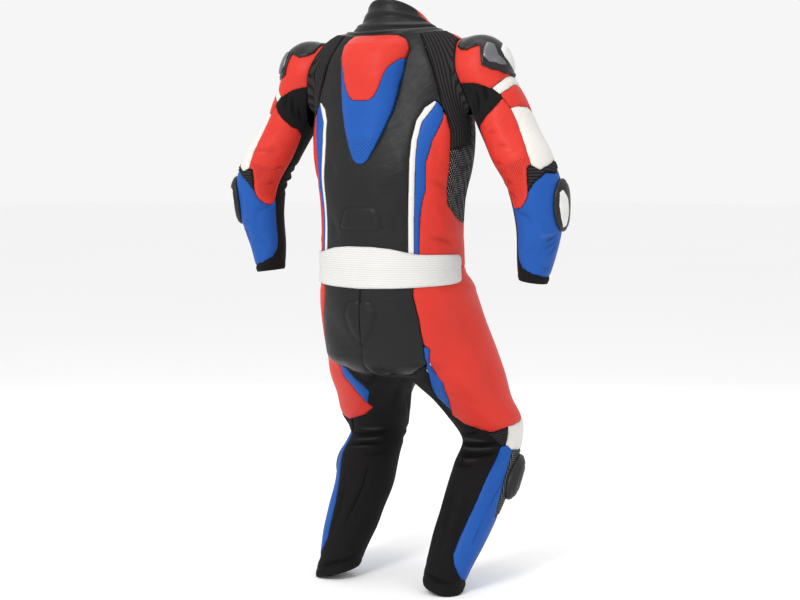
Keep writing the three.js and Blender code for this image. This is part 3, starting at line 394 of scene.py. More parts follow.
# Creases, given one by one: start angle and row, end angle and row, half width, height (below zero
# for a trough), and how far the middle of the line is bent aside. Bodice angles are below zero on the
# wearer's right.
CREASES = {
    "bodice": [
        (-2, 945, 4, 905, 13, -2.0, 4), (20, 960, 25, 1010, 14, -1.6, 0),
        (-22, 965, -18, 915, 12, -1.4, -5), (-24, 1030, -27, 960, 12, 1.4, 5),
        (24, 880, 19, 826, 10, -1.6, 3), (-21, 890, -27, 826, 11, -1.8, -4),
        (-44, 965, -68, 925, 10, -2.4, 5), (-45, 832, -72, 814, 7, -2.6, 3),
        (-50, 850, -92, 824, 9, 1.6, 4), (-70, 900, -112, 850, 10, -2.2, -6),
        (-48, 900, -60, 850, 12, 1.3, 4), (-48, 1060, -52, 1000, 10, -1.2, 2),
        (42, 975, 62, 930, 11, -2.2, -5), (46, 838, 80, 810, 7, -2.4, -3),
        (58, 862, 100, 828, 9, 1.6, 5), (72, 905, 110, 862, 9, -2.0, 4),
        (-66, 990, -92, 1040, 10, -1.6, 5), (66, 985, 94, 1030, 10, -1.8, -4),
        (-70, 930, -108, 905, 9, -1.6, 4), (70, 935, 110, 900, 9, -1.5, -4),
        (124, 838, 172, 812, 8, -3.2, 6), (128, 872, 170, 846, 9, -2.4, -5),
        (130, 856, 168, 832, 8, 1.8, 5), (-124, 832, -173, 816, 8, -3.0, -5),
        (-128, 866, -169, 852, 10, -2.4, 6), (-132, 850, -170, 836, 8, 1.8, -4),
        (126, 1110, 150, 1068, 12, -2.2, 6), (-124, 1106, -148, 1060, 12, -2.4, -6),
        (110, 1150, 132, 1190, 14, -2, 4), (-112, 1146, -134, 1186, 14, -2.2, -4),
        (150, 960, 166, 905, 13, -1.8, 5), (-148, 970, -164, 920, 13, -1.8, -5),
        (140, 1215, 165, 1232, 9, -1.6, 4), (-140, 1210, -166, 1230, 9, -1.8, -4)],
    "leg_right": [
        (-62, 328, 47, 336, 4.5, -4.6, 5), (-52, 316, 42, 326, 4, 3.4, 4),
        (-48, 303, 44, 316, 4.5, -4.8, 4), (-50, 310, 30, 321, 2.4, -1.6, 4),
        (-56, 346, 30, 341, 2.6, 2.2, 2), (-44, 292, 20, 300, 3, 2.4, 3),
        (-40, 352, 12, 366, 3, -2.4, 3), (-20, 372, 14, 378, 3, -1.8, 2),
        (-46, 282, 6, 286, 3, -2.2, 3), (-60, 298, -14, 288, 6, -2.2, 3),
        (-52, 342, 20, 348, 8, 2.0, 3), (-30, 360, 16, 352, 7, -1.8, 3),
        (60, 695, 70, 570, 20, -2.6, 5), (48, 720, 44, 640, 16, 1.8, 4),
        (84, 560, 66, 430, 18, -2.2, 6), (30, 560, 36, 450, 14, 1.6, -6),
        (4, 660, -8, 566, 18, -2.2, 6), (12, 742, 4, 690, 14, -1.6, 3), (-8, 545, -24, 492, 9, -3.2, 4),
        (-30, 545, -40, 480, 9, -2.4, 3), (-20, 470, -32, 396, 12, -1.6, 5),
        (-40, 440, -62, 380, 12, 2.0, -6), (-24, 250, -8, 110, 16, -2.6, 8),
        (8, 230, 14, 90, 13, -2.0, -6), (-50, 230, -38, 80, 16, 2.0, 5), (-34, 52, 22, 40, 5, -2.2, 3),
        (-10, 34, 60, 30, 5, -1.8, -3), (-70, 70, -20, 46, 6, -2.0, 4), (30, 60, 80, 44, 6, -1.2, 3),
        (74, 258, 55, 180, 2.2, -2.6, 1), (55, 188, 57, 108, 2.2, -2.4, 0),
        (160, 640, 214, 596, 10, -3.4, 8), (164, 604, 224, 560, 9, -3.2, -7),
        (158, 560, 236, 522, 9, -2.8, 8), (160, 690, 200, 664, 12, -2.2, 5),
        (154, 470, 190, 420, 12, -2.0, 5), (220, 500, 190, 450, 12, 2.2, 5),
        (-90, 440, -110, 360, 12, -2.2, 5), (-100, 340, -140, 322, 7, -3.2, 4),
        (-96, 316, -140, 300, 7, -3.0, 4), (-110, 250, -120, 140, 14, -2.2, 6),
        (150, 150, 165, 70, 12, -1.8, 4)],
    "leg_left": [
        (-58, 338, 32, 326, 4, -3.6, 3), (-50, 324, 26, 312, 4.5, 2.6, 3),
        (-56, 308, 34, 298, 4.5, -3.4, -4), (-54, 330, 10, 319, 2.4, -1.4, 2),
        (-40, 300, 20, 292, 3, 2.2, -3), (-48, 348, 10, 344, 3, 2.0, 2),
        (-66, 292, -20, 284, 6, -1.6, 3), (-50, 352, 16, 346, 9, 1.6, 3),
        (-34, 264, -15, 122, 2.6, -2.6, 1.5), (-22, 262, -4, 130, 12, 1.2, 5),
        (-44, 240, -30, 110, 12, 1.3, -5), (12, 240, 10, 100, 14, -1.8, 5),
        (-30, 560, -31, 519, 7, -3.0, 2), (-31, 524, -22, 470, 8, -3.4, 3),
        (-8, 544, -2, 500, 9, -2.8, 3), (-4, 506, -28, 462, 9, -2.2, -4),
        (-46, 490, -40, 410, 12, 2.2, 5), (-60, 470, -62, 400, 12, -2.2, 5),
        (4, 664, -10, 570, 18, -2.2, -6), (10, 742, 2, 690, 14, -1.4, 3),
        (62, 690, 74, 560, 20, -2.4, 6), (46, 715, 40, 640, 16, 1.6, 4),
        (84, 550, 70, 430, 18, -2.0, 5), (28, 560, 36, 450, 14, 1.4, 6), (-30, 50, 26, 34, 5, -2.2, 3),
        (-70, 62, -10, 44, 6, -2.2, 4), (30, 56, 84, 40, 6, -1.6, 3), (-6, 24, 50, 20, 4, -1.4, 3),
        (-58, 238, -40, 90, 14, 1.8, 5), (74, 258, 55, 180, 2.2, -2.6, 1),
        (55, 188, 57, 108, 2.2, -2.4, 0), (160, 648, 212, 600, 10, -3.4, -8),
        (166, 600, 226, 556, 9, -3.0, 7), (160, 556, 234, 526, 9, -2.8, 8),
        (156, 694, 202, 668, 12, -2.2, 5), (152, 466, 188, 424, 12, -2.0, 5),
        (218, 496, 192, 446, 12, 2.2, 5), (-90, 446, -112, 366, 12, -2.2, 5),
        (-98, 338, -142, 326, 7, -3.0, 4), (-98, 314, -140, 304, 7, -3.2, 4),
        (-108, 244, -122, 134, 14, -2.2, 6), (150, 150, 165, 74, 12, -1.8, 4)],
    "sleeve_right": [
        (24, 60, 8, 94, 6, -2.6, 3), (4, 52, -24, 96, 6, -3.2, 5), (-24, 50, -32, 92, 6, -2.6, 3),
        (-8, 186, 12, 200, 5, -2.0, 2), (-2, 204, 18, 216, 5, 1.4, 2), (14, 130, 34, 178, 12, -1.4, 4),
        (4, 150, 10, 186, 10, 1.2, 3), (-4, 240, 22, 292, 11, -1.6, 4), (32, 200, 26, 246, 10, 1.2, 3),
        (-6, 344, 20, 392, 11, -1.8, 5), (12, 360, 46, 426, 12, 1.6, 6),
        (64, 404, 20, 452, 12, -1.8, 5), (30, 420, -14, 446, 9, -1.8, 4), (70, 440, 40, 474, 9, 1.4, 3),
        (78, 60, 58, 76, 8, -1.6, 3), (84, 396, 44, 414, 3, -2.6, 2), (88, 404, 50, 430, 3, -2.4, 3),
        (80, 392, 30, 402, 3.5, 1.8, 2), (92, 412, 60, 446, 3.5, -2.0, 3),
        (-30, 352, 10, 366, 4, -1.8, 3), (-36, 300, -14, 316, 4, -2.2, 2),
        (-34, 216, -8, 238, 4, -2.0, 3), (-30, 268, -4, 284, 4.5, -1.8, -2),
        (-20, 150, 8, 164, 4, -1.8, 3), (40, 470, 84, 480, 3.5, -1.6, 2), (14, 38, 34, 70, 9, 1.4, 3),
        (150, 30, 190, 62, 11, -2.4, 5), (140, 110, 185, 132, 10, -1.8, 4),
        (-152, 262, -60, 256, 7, -3.6, 6), (-150, 284, -52, 290, 7, -3.6, 6),
        (-150, 240, -70, 232, 7, -2.6, 5), (-146, 306, -70, 316, 7, -2.4, 5),
        (-150, 272, -58, 272, 6, 2.2, 5), (-120, 120, -90, 220, 12, -2.2, 6),
        (-110, 340, -90, 440, 12, -2.0, 6), (-60, 30, -86, 92, 9, -3.0, 5),
        (-100, 24, -116, 88, 9, -3.0, 5)],
    "sleeve_left": [
        (22, 58, 10, 90, 6, -2.4, 3), (2, 50, -22, 92, 6, -3.0, 5), (-26, 48, -34, 90, 6, -2.6, 3),
        (-6, 182, 16, 206, 8, -1.8, 3), (12, 132, 30, 182, 12, -1.4, 4),
        (-4, 236, 20, 288, 11, -1.6, 4), (30, 206, 24, 252, 10, 1.2, 3),
        (-6, 350, 18, 398, 11, -1.8, 5), (14, 366, 44, 430, 12, 1.6, 6),
        (62, 400, 22, 450, 12, -1.8, 5), (28, 424, -12, 450, 9, -1.8, 4), (80, 58, 60, 74, 8, -1.6, 3),
        (86, 398, 46, 412, 3, -2.6, 2), (84, 408, 48, 432, 3, -2.2, 3),
        (60, 376, 20, 392, 3.5, -1.8, 2), (-32, 350, 6, 362, 4, -1.8, 3),
        (-36, 222, -10, 240, 4, -2.2, 3), (-30, 272, -2, 290, 4.5, -1.8, -2),
        (14, 196, 40, 214, 4, -1.8, 2), (34, 452, 76, 466, 3.5, -1.6, 2),
        (150, 34, 188, 64, 11, -2.4, 5), (142, 108, 184, 130, 10, -1.8, 4),
        (-152, 258, -60, 254, 7, -3.6, 6), (-150, 280, -54, 288, 7, -3.6, 6),
        (-150, 238, -68, 230, 7, -2.6, 5), (-146, 304, -72, 312, 7, -2.4, 5),
        (-150, 270, -58, 270, 6, 2.2, 5), (-120, 124, -92, 216, 12, -2.2, 6),
        (-112, 344, -90, 436, 12, -2.0, 6), (-62, 28, -84, 90, 9, -3.0, 5),
        (-98, 26, -118, 90, 9, -3.0, 5)],
}


def creases(rows, per_degree, angle, row):
    """Sum over the listed creases of height * exp(-(d / half width)^2) * sin(pi f)^0.7, where d is
    the distance aside from the bent line and f the share of the way along it. The second sum weighs
    the narrow ones more."""
    x, total, sharp = angle * per_degree, np.zeros_like(angle), np.zeros_like(angle)
    for a0, r0, a1, r1, wide, high, bend in rows:
        ux, uy = (a1 - a0) * per_degree, r1 - r0
        long = math.hypot(ux, uy)
        px, py = x - a0 * per_degree, row - r0
        f = np.clip((px * ux + py * uy) / long**2, 0, 1)
        aside = (px * uy - py * ux) / long - bend * 4 * f * (1 - f)
        along = (px * ux + py * uy) / long - f * long
        one = high * np.exp(-(aside / wide)**2 - (along / wide)**2)
        one = one * np.sin(np.pi * np.clip(f, 0.02, 0.98))**0.7
        total += one
        # The second sum sets the painted shade and highlight of the creases.
        sharp += one * min(6 / wide, 1.2)
    return total, sharp


def ripple(p, side):
    """Slow unevenness of worn cloth: four sine waves 90 to 130 mm long, 0.4 mm high each."""
    x, y, z = p[..., 0] * side, p[..., 1], p[..., 2]
    waves = [(0.041, 0.013, 0.022, 0.4), (-0.017, 0.047, 0.031, 1.9), (0.029, -0.033, 0.052, 3.1),
             (0.053, 0.021, -0.037, 5.0)]
    return sum(0.4 * np.sin(a * x + b * y + c * z + d * (2 + side)) for a, b, c, d in waves)


def outline_distance(outline, x, y, per_degree):
    """Distance to a closed outline in flat millimetres, below zero inside it: the least distance to
    its edges, with the sign from how often a level line from the point crosses them."""
    flat = np.array(outline, float) * [per_degree, 1]
    best = np.full(x.shape, 1e9)
    inside = np.zeros(x.shape, bool)
    for (ax, ay), (bx, by) in zip(flat, np.roll(flat, -1, axis=0)):
        ux, uy = bx - ax, by - ay
        f = np.clip(((x - ax) * ux + (y - ay) * uy) / max(ux * ux + uy * uy, 1e-9), 0, 1)
        best = np.minimum(best, np.hypot(x - ax - f * ux, y - ay - f * uy))
        if ay != by:
            crosses = ((ay > y) != (by > y)) & (x < (y - ay) / (by - ay) * ux + ax)
            inside ^= crosses
    return np.where(inside, -best, best)


def smooth(x):
    """A soft step from 0 to 1 over 0 to 1: 3x^2 - 2x^3."""
    x = np.clip(x, 0, 1)
    return x * x * (3 - 2 * x)


def biggest(faces, count):
    """The corners that belong to the largest joined part of a sheet: each corner takes the lowest
    number among its faces' corners, over and over."""
    label = np.arange(count)
    while True:
        before = label.copy()
        for block in faces:
            low = label[block].min(axis=1)
            for k in range(block.shape[1]):
                np.minimum.at(label, block[:, k], low)
        label = label[label]
        if (label == before).all():
            break
    used = np.concatenate([block.ravel() for block in faces])
    values, counts = np.unique(label[used], return_counts=True)
    return label == values[counts.argmax()]


def trimmed(x, y, level):
    """A grid of flat cloth trimmed to where level is at or below zero. A border cell keeps its corners
    inside, and gets a new corner on each of its edges where level passes zero. Returns the cells'
    corners by number of corners, and for every corner the two grid points it lies between and its
    share of the way from the first."""
    nj, ni = level.shape
    grid = np.arange(nj * ni).reshape(nj, ni)
    first = [grid.ravel(), grid[:, :-1].ravel(), grid[:-1].ravel()]
    second = [grid.ravel(), grid[:, 1:].ravel(), grid[1:].ravel()]
    first, second = np.concatenate(first), np.concatenate(second)
    flat = level.ravel()
    gap = flat[first] - flat[second]
    share = np.where(first == second, 0, flat[first] / np.where(gap == 0, 1, gap))
    across = nj * ni + np.arange(nj * (ni - 1)).reshape(nj, ni - 1)
    along = nj * ni + nj * (ni - 1) + np.arange((nj - 1) * ni).reshape(nj - 1, ni)
    corners = [grid[:-1, :-1], grid[:-1, 1:], grid[1:, 1:], grid[1:, :-1]]
    edges = [across[:-1], along[:, 1:], across[1:], along[:, :-1]]
    slots = []
    for k in range(4):
        here, there = flat[corners[k]], flat[corners[(k + 1) % 4]]
        slots += [np.where(here <= 0, corners[k], -1), np.where(here * there < 0, edges[k], -1)]
    slots = np.stack(slots, axis=-1).reshape(-1, 8)
    order = np.argsort(slots < 0, axis=1, kind="stable")
    slots = np.take_along_axis(slots, order, axis=1)
    filled = (slots >= 0).sum(axis=1)
    some = (np.stack([flat[c] for c in corners], axis=-1).reshape(-1, 4) < 0).any(axis=1)
    faces = [slots[(filled == n) & some, :n] for n in range(3, 9)]
    faces = [block for block in faces if len(block)]
    keep = biggest(faces, len(first))
    faces = [block[keep[block[:, 0]]] for block in faces]
    used = np.unique(np.concatenate([block.ravel() for block in faces]))
    number = np.full(len(first), -1)
    number[used] = np.arange(len(used))
    return [number[block] for block in faces if len(block)], first[used], second[used], share[used]


def border_of(faces, count):
    """The directed edges of a sheet that no second face shares."""
    start = np.concatenate([block.ravel() for block in faces])
    end = np.concatenate([np.roll(block, -1, axis=1).ravel() for block in faces])
    alone = ~np.isin(start * count + end, end * count + start)
    return start[alone], end[alone]


def put_in_mesh(name, points, faces, finishes, inner=(), uv=None, **values):
    """A mesh object from arrays: points in millimetres, faces by number of corners, the blocks in
    inner get the second finish, and further values are kept by name for each point."""
    mesh = bpy.data.meshes.new(name)
    mesh.vertices.add(len(points))
    place = (points - [0, 0, HELD_HEIGHT]) / 1000
    mesh.vertices.foreach_set("co", place.astype(np.float32).ravel())
    loops = np.concatenate([block.ravel() for block in faces])
    totals = np.concatenate([np.full(len(block), block.shape[1]) for block in faces])
    mesh.loops.add(len(loops))
    mesh.loops.foreach_set("vertex_index", loops.astype(np.int32))
    mesh.polygons.add(len(totals))
    starts = np.concatenate([[0], np.cumsum(totals)[:-1]])
    mesh.polygons.foreach_set("loop_start", starts.astype(np.int32))
    which = np.concatenate([np.full(len(block), int(i in inner)) for i, block in enumerate(faces)])
    for finish in finishes:
        mesh.materials.append(finish)
    mesh.update(calc_edges=True)
    mesh.polygons.foreach_set("material_index", which.astype(np.int32))
    mesh.polygons.foreach_set("use_smooth", np.ones(len(totals), bool))
    if uv is not None:
        layer = mesh.uv_layers.new(name="cut")
        layer.data.foreach_set("uv", uv[loops].astype(np.float32).ravel())
    for word, value in values.items():
        mesh.attributes.new(word, "FLOAT", "POINT").data.foreach_set("value", value.astype(np.float32))
    mesh.update()
    obj = bpy.data.objects.new(name, mesh)
    bpy.context.collection.objects.link(obj)
    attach(obj, "root")
    return obj


def area_of(points, faces):
    """Area of a sheet: each face as a fan of triangles from its first corner."""
    total = 0
    for block in faces:
        p = points[block]
        for k in range(1, block.shape[1] - 1):
            turn = np.cross(p[:, k] - p[:, 0], p[:, k + 1] - p[:, 0])
            total += np.linalg.norm(turn, axis=1).sum() / 2
    return total


def cut_size(surface, level, area):
    """Flat size of the cut, in metres: the longest line of the grid inside the piece each way, and
    the area. A bent strip is as wide as its area needs along its own length."""
    inside = level <= 0
    across = np.linalg.norm(np.diff(surface, axis=1), axis=-1) * (inside[:, 1:] & inside[:, :-1])
    along = np.linalg.norm(np.diff(surface, axis=0), axis=-1) * (inside[1:] & inside[:-1])
    width, length = across.sum(axis=1).max(), along.sum(axis=0).max()
    if area > width * length:
        width = 1.02 * area / length
    if area < 0.42 * width * length:
        spare = math.hypot(width, length) if width < length else width
        length = max(length, spare)
        width = area / (0.8 * length)
    return width / 1000, length / 1000, area / 1e6


SNAP_SHARE, LEAST_SLOPE, FOLD_JUMP = 0.34, 0.3, 1.5


class Piece:
    """One cut piece laid on the form: its grid, surface, outward directions, trimmed faces and the
    distance of each corner from the piece's edge."""

    def __init__(self, outline, before=(), chart="bodice", trim=None, grid=None, step=None,
                 within=None):
        place, per_degree, real, angle_step, row_step = CHARTS[chart]
        self.chart, self.outline, self.per_degree, self.real = chart, outline, per_degree, real
        if step:
            angle_step, row_step = step
        angles, rows = np.array(outline, float).T
        if grid is None:
            a = np.arange(angles.min() - angle_step, angles.max() + 1.5 * angle_step, angle_step)
            r = np.arange(rows.min() - row_step, rows.max() + 1.5 * row_step, row_step)
            grid = np.meshgrid(a, r)
        angle, row = grid
        surface = place(angle, row)

        def level_at(x, y, surface):
            """Distance past the piece's edge, half a seam gap inside the outline and a whole gap off
            the pieces it yields to, or half a gap off the armhole or the middle."""
            level = outline_distance(outline, x, y, per_degree) + SEAM_GAP / 2
            if within:
                level = np.maximum(level, outline_distance(within, x, y, per_degree) + SEAM_GAP / 2)
            for other in before:
                level = np.maximum(level, SEAM_GAP - outline_distance(other, x, y, per_degree))
            if trim == "sleeve":
                level = np.maximum(level, SEAM_GAP / 2 - (surface - ARMHOLE_MIDDLE) @ ARMHOLE_WAY)
            if trim == "bodice":
                level = np.maximum(level, SEAM_GAP / 2 + (surface - ARMHOLE_MIDDLE) @ ARMHOLE_WAY)
            if trim == "middle":
                level = np.maximum(level, SEAM_GAP / 2 - surface[..., 0])
            return level

        x, y = angle * per_degree, row + 0.0
        level = level_at(x, y, surface)
        # The level's slope, and how much longer the real cloth is than the flat grid each way.
        d_across = np.gradient(level, axis=1), np.gradient(x, axis=1), np.gradient(y, axis=1)
        d_along = np.gradient(level, axis=0), np.gradient(x, axis=0), np.gradient(y, axis=0)
        whole_turn = d_across[1] * d_along[2] - d_across[2] * d_along[1]
        gx = (d_across[0] * d_along[2] - d_along[0] * d_across[2]) / whole_turn
        gy = (d_along[0] * d_across[1] - d_across[0] * d_along[1]) / whole_turn
        size = gx**2 + gy**2 + 1e-9
        # Grid points close to the edge are moved onto it, so that no sliver is left there.
        cell = min(np.abs(d_across[1]).mean(), np.abs(d_along[2]).mean())
        near = (np.abs(level) < SNAP_SHARE * cell) & (size > LEAST_SLOPE)
        move = np.where(near, -level / size, 0)
        x, y = x + gx * move, y + gy * move
        level = np.where(near, 0, level)
        angle, row = x / per_degree, y
        surface = place(angle, row)
        wide = np.linalg.norm(np.gradient(surface, axis=1), axis=-1) / np.hypot(*d_across[1:])
        tall = np.linalg.norm(np.gradient(surface, axis=0), axis=-1) / np.hypot(*d_along[1:])
        slope = np.sqrt((gx / wide)**2 + (gy / tall)**2) + 1e-6
        edge = np.maximum(-level, 0) / np.clip(slope, 0.25, 1.4)
        self.faces, first, second, share = trimmed(x, y, level)

        def between(values):
            flat = values.reshape(-1, *values.shape[2:])
            part = share.reshape(-1, *[1] * (flat.ndim - 1))
            return flat[first] * (1 - part) + flat[second] * part

        self.angle, self.row, self.edge = between(angle), between(row), between(edge)
        self.surface = place(self.angle, self.row)
        if trim in ("sleeve", "bodice"):
            # At the armpit the form folds over, so a corner there stays between its grid points.
            straight = between(surface)
            far = np.linalg.norm(straight - self.surface, axis=1) > FOLD_JUMP
            self.surface[far] = straight[far]
        self.normal = suit_normal(self.surface)
        block = max(self.faces, key=len)
        p = self.surface[block]
        turn = np.cross(p[:, 1] - p[:, 0], p[:, 2] - p[:, 0])
        if (turn * self.normal[block[:, 0]]).sum() < 0:
            self.faces = [block[:, ::-1] for block in self.faces]
        self.size = cut_size(surface, level, area_of(self.surface, self.faces))
        self.level_at = level_at
        # Heights from which the finishes paint shade and highlight on creases, ribs and pad lines.
        self.fold = np.zeros(len(self.row))

    def to_outline(self, outline, scale):
        """Distance of each corner to an outline, at a number of millimetres per degree."""
        return outline_distance(outline, self.angle * scale, self.row, scale)

    def build(self, name, node, finishes, low, high, side=1):
        """The closed piece: an outer sheet at height high over the form, an inner sheet at height low,
        and a rim between their borders. Side -1 gives the twin on the wearer's right."""
        mirror = np.array([side, 1, 1])
        outer = (self.surface + self.normal * high[:, None]) * mirror
        inner = (self.surface + self.normal * low[:, None]) * mirror
        n = len(outer)
        a, b = border_of(self.faces, n)
        rim = np.stack([b, a, a + n, b + n], axis=1)
        faces = [*self.faces, *[block[:, ::-1] + n for block in self.faces], rim]
        if side < 0:
            faces = [block[:, ::-1] for block in faces]
        uv = np.stack([self.angle * self.real, self.row], axis=1) / 1000
        both = range(len(self.faces), 2 * len(self.faces))
        obj = put_in_mesh(name, np.vstack([outer, inner]), faces, finishes, both,
                          np.vstack([uv, uv]), edge=np.tile(self.edge, 2), fold=np.tile(self.fold, 2))
        if node:
            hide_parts(node)
        return obj


def seam_roll(edge):
    """Height near a sewn edge: it sinks by SEAM_SINK over SEAM_WIDTH, inside a soft pillow of PUFF."""
    sunk = SEAM_SINK * np.exp(-(edge / SEAM_WIDTH)**1.5)
    return PUFF * (1 - np.exp(-edge / PUFF_WIDTH)) - sunk


def raised_pad(outline, piece):
    """A pad under the cloth: 2.8 mm high over 5 mm inside its outline, in a line 1.3 mm deep that also
    gets painted shade.
    """
    d = piece.to_outline(outline, piece.real)
    line = np.exp(-((d - 1) / 2.2)**2)
    piece.fold = piece.fold - 3.2 * line
    return 2.8 * smooth(-d / 5) - 1.3 * line


def ridges(turn, height, sharp=0.75):
    """Rounded ribs with narrow grooves: height * |cos(pi turn)|^sharp."""
    return height * np.abs(np.cos(np.pi * turn))**sharp


class Wire:
    """A value or colour on its way through a finish's nodes. Sums and products add Math nodes."""

    def __init__(self, finish, socket):
        self.finish, self.socket = finish, socket

    def maths(self, operation, *values):
        return self.finish.node("ShaderNodeMath", {"operation": operation}, dict(enumerate(values)))

    def __add__(self, other):
        return self.maths("ADD", self, other)

    def __radd__(self, other):
        return self.maths("ADD", other, self)

    def __sub__(self, other):
        return self.maths("SUBTRACT", self, other)

    def __rsub__(self, other):
        return self.maths("SUBTRACT", other, self)

    def __mul__(self, other):
        return self.maths("MULTIPLY", self, other)

    def __rmul__(self, other):
        return self.maths("MULTIPLY", other, self)

    def __pow__(self, other):
        return self.maths("POWER", self, other)

    def __rpow__(self, other):
        return self.maths("POWER", other, self)

    def sine(self):
        return self.maths("SINE", self)

    def step(self, low, high):
        """A soft step from 0 at low to 1 at high."""
        settings = {"interpolation_type": "SMOOTHSTEP"}
        sockets = {0: self, 1: low, 2: high, 3: 0.0, 4: 1.0}
        return self.finish.node("ShaderNodeMapRange", settings, sockets)


MM_TURN = 2000 * math.pi  # radians per metre of a wave one millimetre long


class Finish:
    """A material built from expressions, whose fixed shader values come by keyword."""

    def __init__(self, name, **fixed):
        self.material = bpy.data.materials.new(name)
        self.material.use_nodes = True
        self.tree = self.material.node_tree
        self.shader = next(n for n in self.tree.nodes if n.type == "BSDF_PRINCIPLED")
        for socket, value in fixed.items():
            self.shader.inputs[socket.replace("_", " ")].default_value = value

    def node(self, kind, settings=None, sockets=None, out=0):
        made = self.tree.nodes.new(kind)
        for key, value in (settings or {}).items():
            setattr(made, key, value)
        for key, value in (sockets or {}).items():
            if isinstance(value, Wire):
                self.tree.links.new(value.socket, made.inputs[key])
            else:
                made.inputs[key].default_value = value
        return Wire(self, made.outputs[out])

    def place(self):
        return self.node("ShaderNodeTexCoord", out="Object")

    def cut(self, turn=0.0):
        """The piece's own flat lay in metres, turned by an angle in degrees."""
        flat = self.node("ShaderNodeUVMap", {"uv_map": "cut"})
        sockets = {"Vector": flat, "Rotation": (0, 0, math.radians(turn))}
        return self.node("ShaderNodeMapping", {}, sockets)

    def scaled(self, vector, scale):
        return self.node("ShaderNodeMapping", {}, {"Vector": vector, "Scale": scale})

    def wave(self, axis, pitch):
        """A sine wave along an axis in metres, its pitch in millimetres."""
        return (axis * (MM_TURN / pitch)).sine()

    def parts(self, vector):
        split = self.node("ShaderNodeSeparateXYZ", {}, {0: vector})
        return [Wire(self, split.socket.node.outputs[k]) for k in range(3)]

    def edge(self):
        """Millimetres from the piece's edge."""
        return self.node("ShaderNodeAttribute", {"attribute_name": "edge"}, out="Fac")

    def fold(self):
        """Millimetres that a crease or rib stands out, below zero in a trough; from it shade is painted
        in the troughs and a highlight on the crests.
        """
        return self.node("ShaderNodeAttribute", {"attribute_name": "fold"}, out="Fac")

    def noise(self, vector, scale, detail=2.0, rough=0.5):
        sockets = {"Vector": vector, "Scale": scale, "Detail": detail, "Roughness": rough}
        return self.node("ShaderNodeTexNoise", {}, sockets)

    def cells(self, vector, scale, spread=1.0):
        sockets = {"Vector": vector, "Scale": scale, "Randomness": spread}
        return self.node("ShaderNodeTexVoronoi", {}, sockets)

    def blend(self, start, end, share):
        """From one colour to another."""
        wires = {6: start, 7: end, 0: share}
        return self.node("ShaderNodeMix", {"data_type": "RGBA"}, wires, out=2)

    def painted_seam_shade(self, body, dark, high, low=0.1, least=0.3):
        """Painted shade in the seam: the body colour, with only a share of it, least, left over the
        dark one at the edge.
        """
        return self.blend(dark, body, least + (1 - least) * self.edge().step(low, high))

    def done(self, colour=None, rough=None, height=None, metal=None):
        """Colour, roughness and a bump whose height is in millimetres."""
        for name, wire in (("Base Color", colour), ("Roughness", rough), ("Metallic", metal)):
            if isinstance(wire, Wire):
                self.tree.links.new(wire.socket, self.shader.inputs[name])
            elif wire is not None:
                self.shader.inputs[name].default_value = wire
        if height is not None:
            sockets = {"Strength": 1.0, "Distance": 0.001, "Height": height}
            bump = self.node("ShaderNodeBump", {}, sockets)
            self.tree.links.new(bump.socket, self.shader.inputs["Normal"])
        return self.material


def shade(colour, share):
    return (*[min(c * share, 1.0) for c in colour], 1.0)


def leather(name, colour, rough=0.46, holes=None):
    """Cowhide: fine pores and grain over slow mottling, with painted shade in the seams and in the
    troughs of the creases and a painted highlight on their crests. holes gives a pitch and the rows
    between which the hide is punched, in millimetres."""
    f = Finish(name, Specular_IOR_Level=0.2, Coat_Weight=0.02, Coat_Roughness=0.3)
    place, edge = f.place(), f.edge()
    slow, mottle, pore = f.noise(place, 9, 3), f.noise(place, 70, 4, 0.6), f.cells(place, 850)
    grain = f.noise(place, 330, 3, 0.6)
    body = f.blend(shade(colour, 0.86), shade(colour, 1.1), slow * 0.6 + mottle * 0.4)
    fold = f.fold()
    # Painted shade in the crease troughs and a painted highlight on the crests, from the fold heights.
    body = f.blend(shade(colour, 0.58), body, fold.step(-3.6, 0.2))
    crest = shade([c * 0.94 + 0.06 for c in colour], 1.12)
    body = f.blend(body, crest, fold.step(0.3, 3.2) * 0.6)
    # Painted shade in the sunken seam along the piece's edge.
    body = f.painted_seam_shade(body, shade(colour, 0.5), 1.5)
    wrinkle = f.noise(f.scaled(f.cut(24), (1, 3, 1)), 16, 4, 0.55)
    height = pore * 0.07 + grain * 0.12 + mottle * 0.45 + wrinkle * 2.2 + edge.step(0.0, 1.2) * 0.4
    if holes:
        pitch, low, high = holes
        cut = f.cut(45)
        row = f.parts(f.cut())[1]
        apart = f.cells(cut, 1000 / pitch, 0.0)
        hole = (1 - apart.step(0.7 / pitch, 1.15 / pitch)) * edge.step(7, 9)
        hole = hole * row.step(low / 1000, low / 1000 + 0.004)
        hole = hole * (1 - row.step(high / 1000 - 0.02, high / 1000))
        body = f.blend(body, shade(colour, 0.12), hole * 0.85)
        height = height - hole * 0.8
    return f.done(body, rough + 0.2 * mottle - 0.08 * slow, height)


def stretch(name, colour, rib=1.7, lift=0.16):
    """Aramid stretch knit: fine upright wales crossed by courses, with a dull broken sheen."""
    f = Finish(name, Specular_IOR_Level=0.1, Sheen_Weight=0.02, Sheen_Roughness=0.45)
    u, v, _ = f.parts(f.cut())
    wale = f.wave(u, rib)
    course = (v * (MM_TURN / (rib * 0.72)) + wale * 0.8).sine()
    slow, fleck = f.noise(f.place(), 14, 3), f.noise(f.place(), 420, 2)
    weave = wale * 0.5 + course * 0.25
    tone = 0.45 * slow + 0.3 * fleck + 0.12 * weave + 0.12
    body = f.blend(shade(colour, 0.55), shade(colour, 1.5), tone)
    # Painted shade in the crease troughs and rib grooves, and a painted highlight on their crests, from
    # the fold heights.
    body = f.blend(shade(colour, 0.3), body, f.fold().step(-3.2, 0.4))
    body = f.blend(body, shade(colour, 4.2), f.fold().step(0.7, 2.6) * 0.75)
    # Painted shade in the sunken seam along the piece's edge.
    body = f.painted_seam_shade(body, shade(colour, 0.35), 1.4)
    return f.done(body, 0.74 + 0.16 * fleck, weave * lift + slow * 0.5)


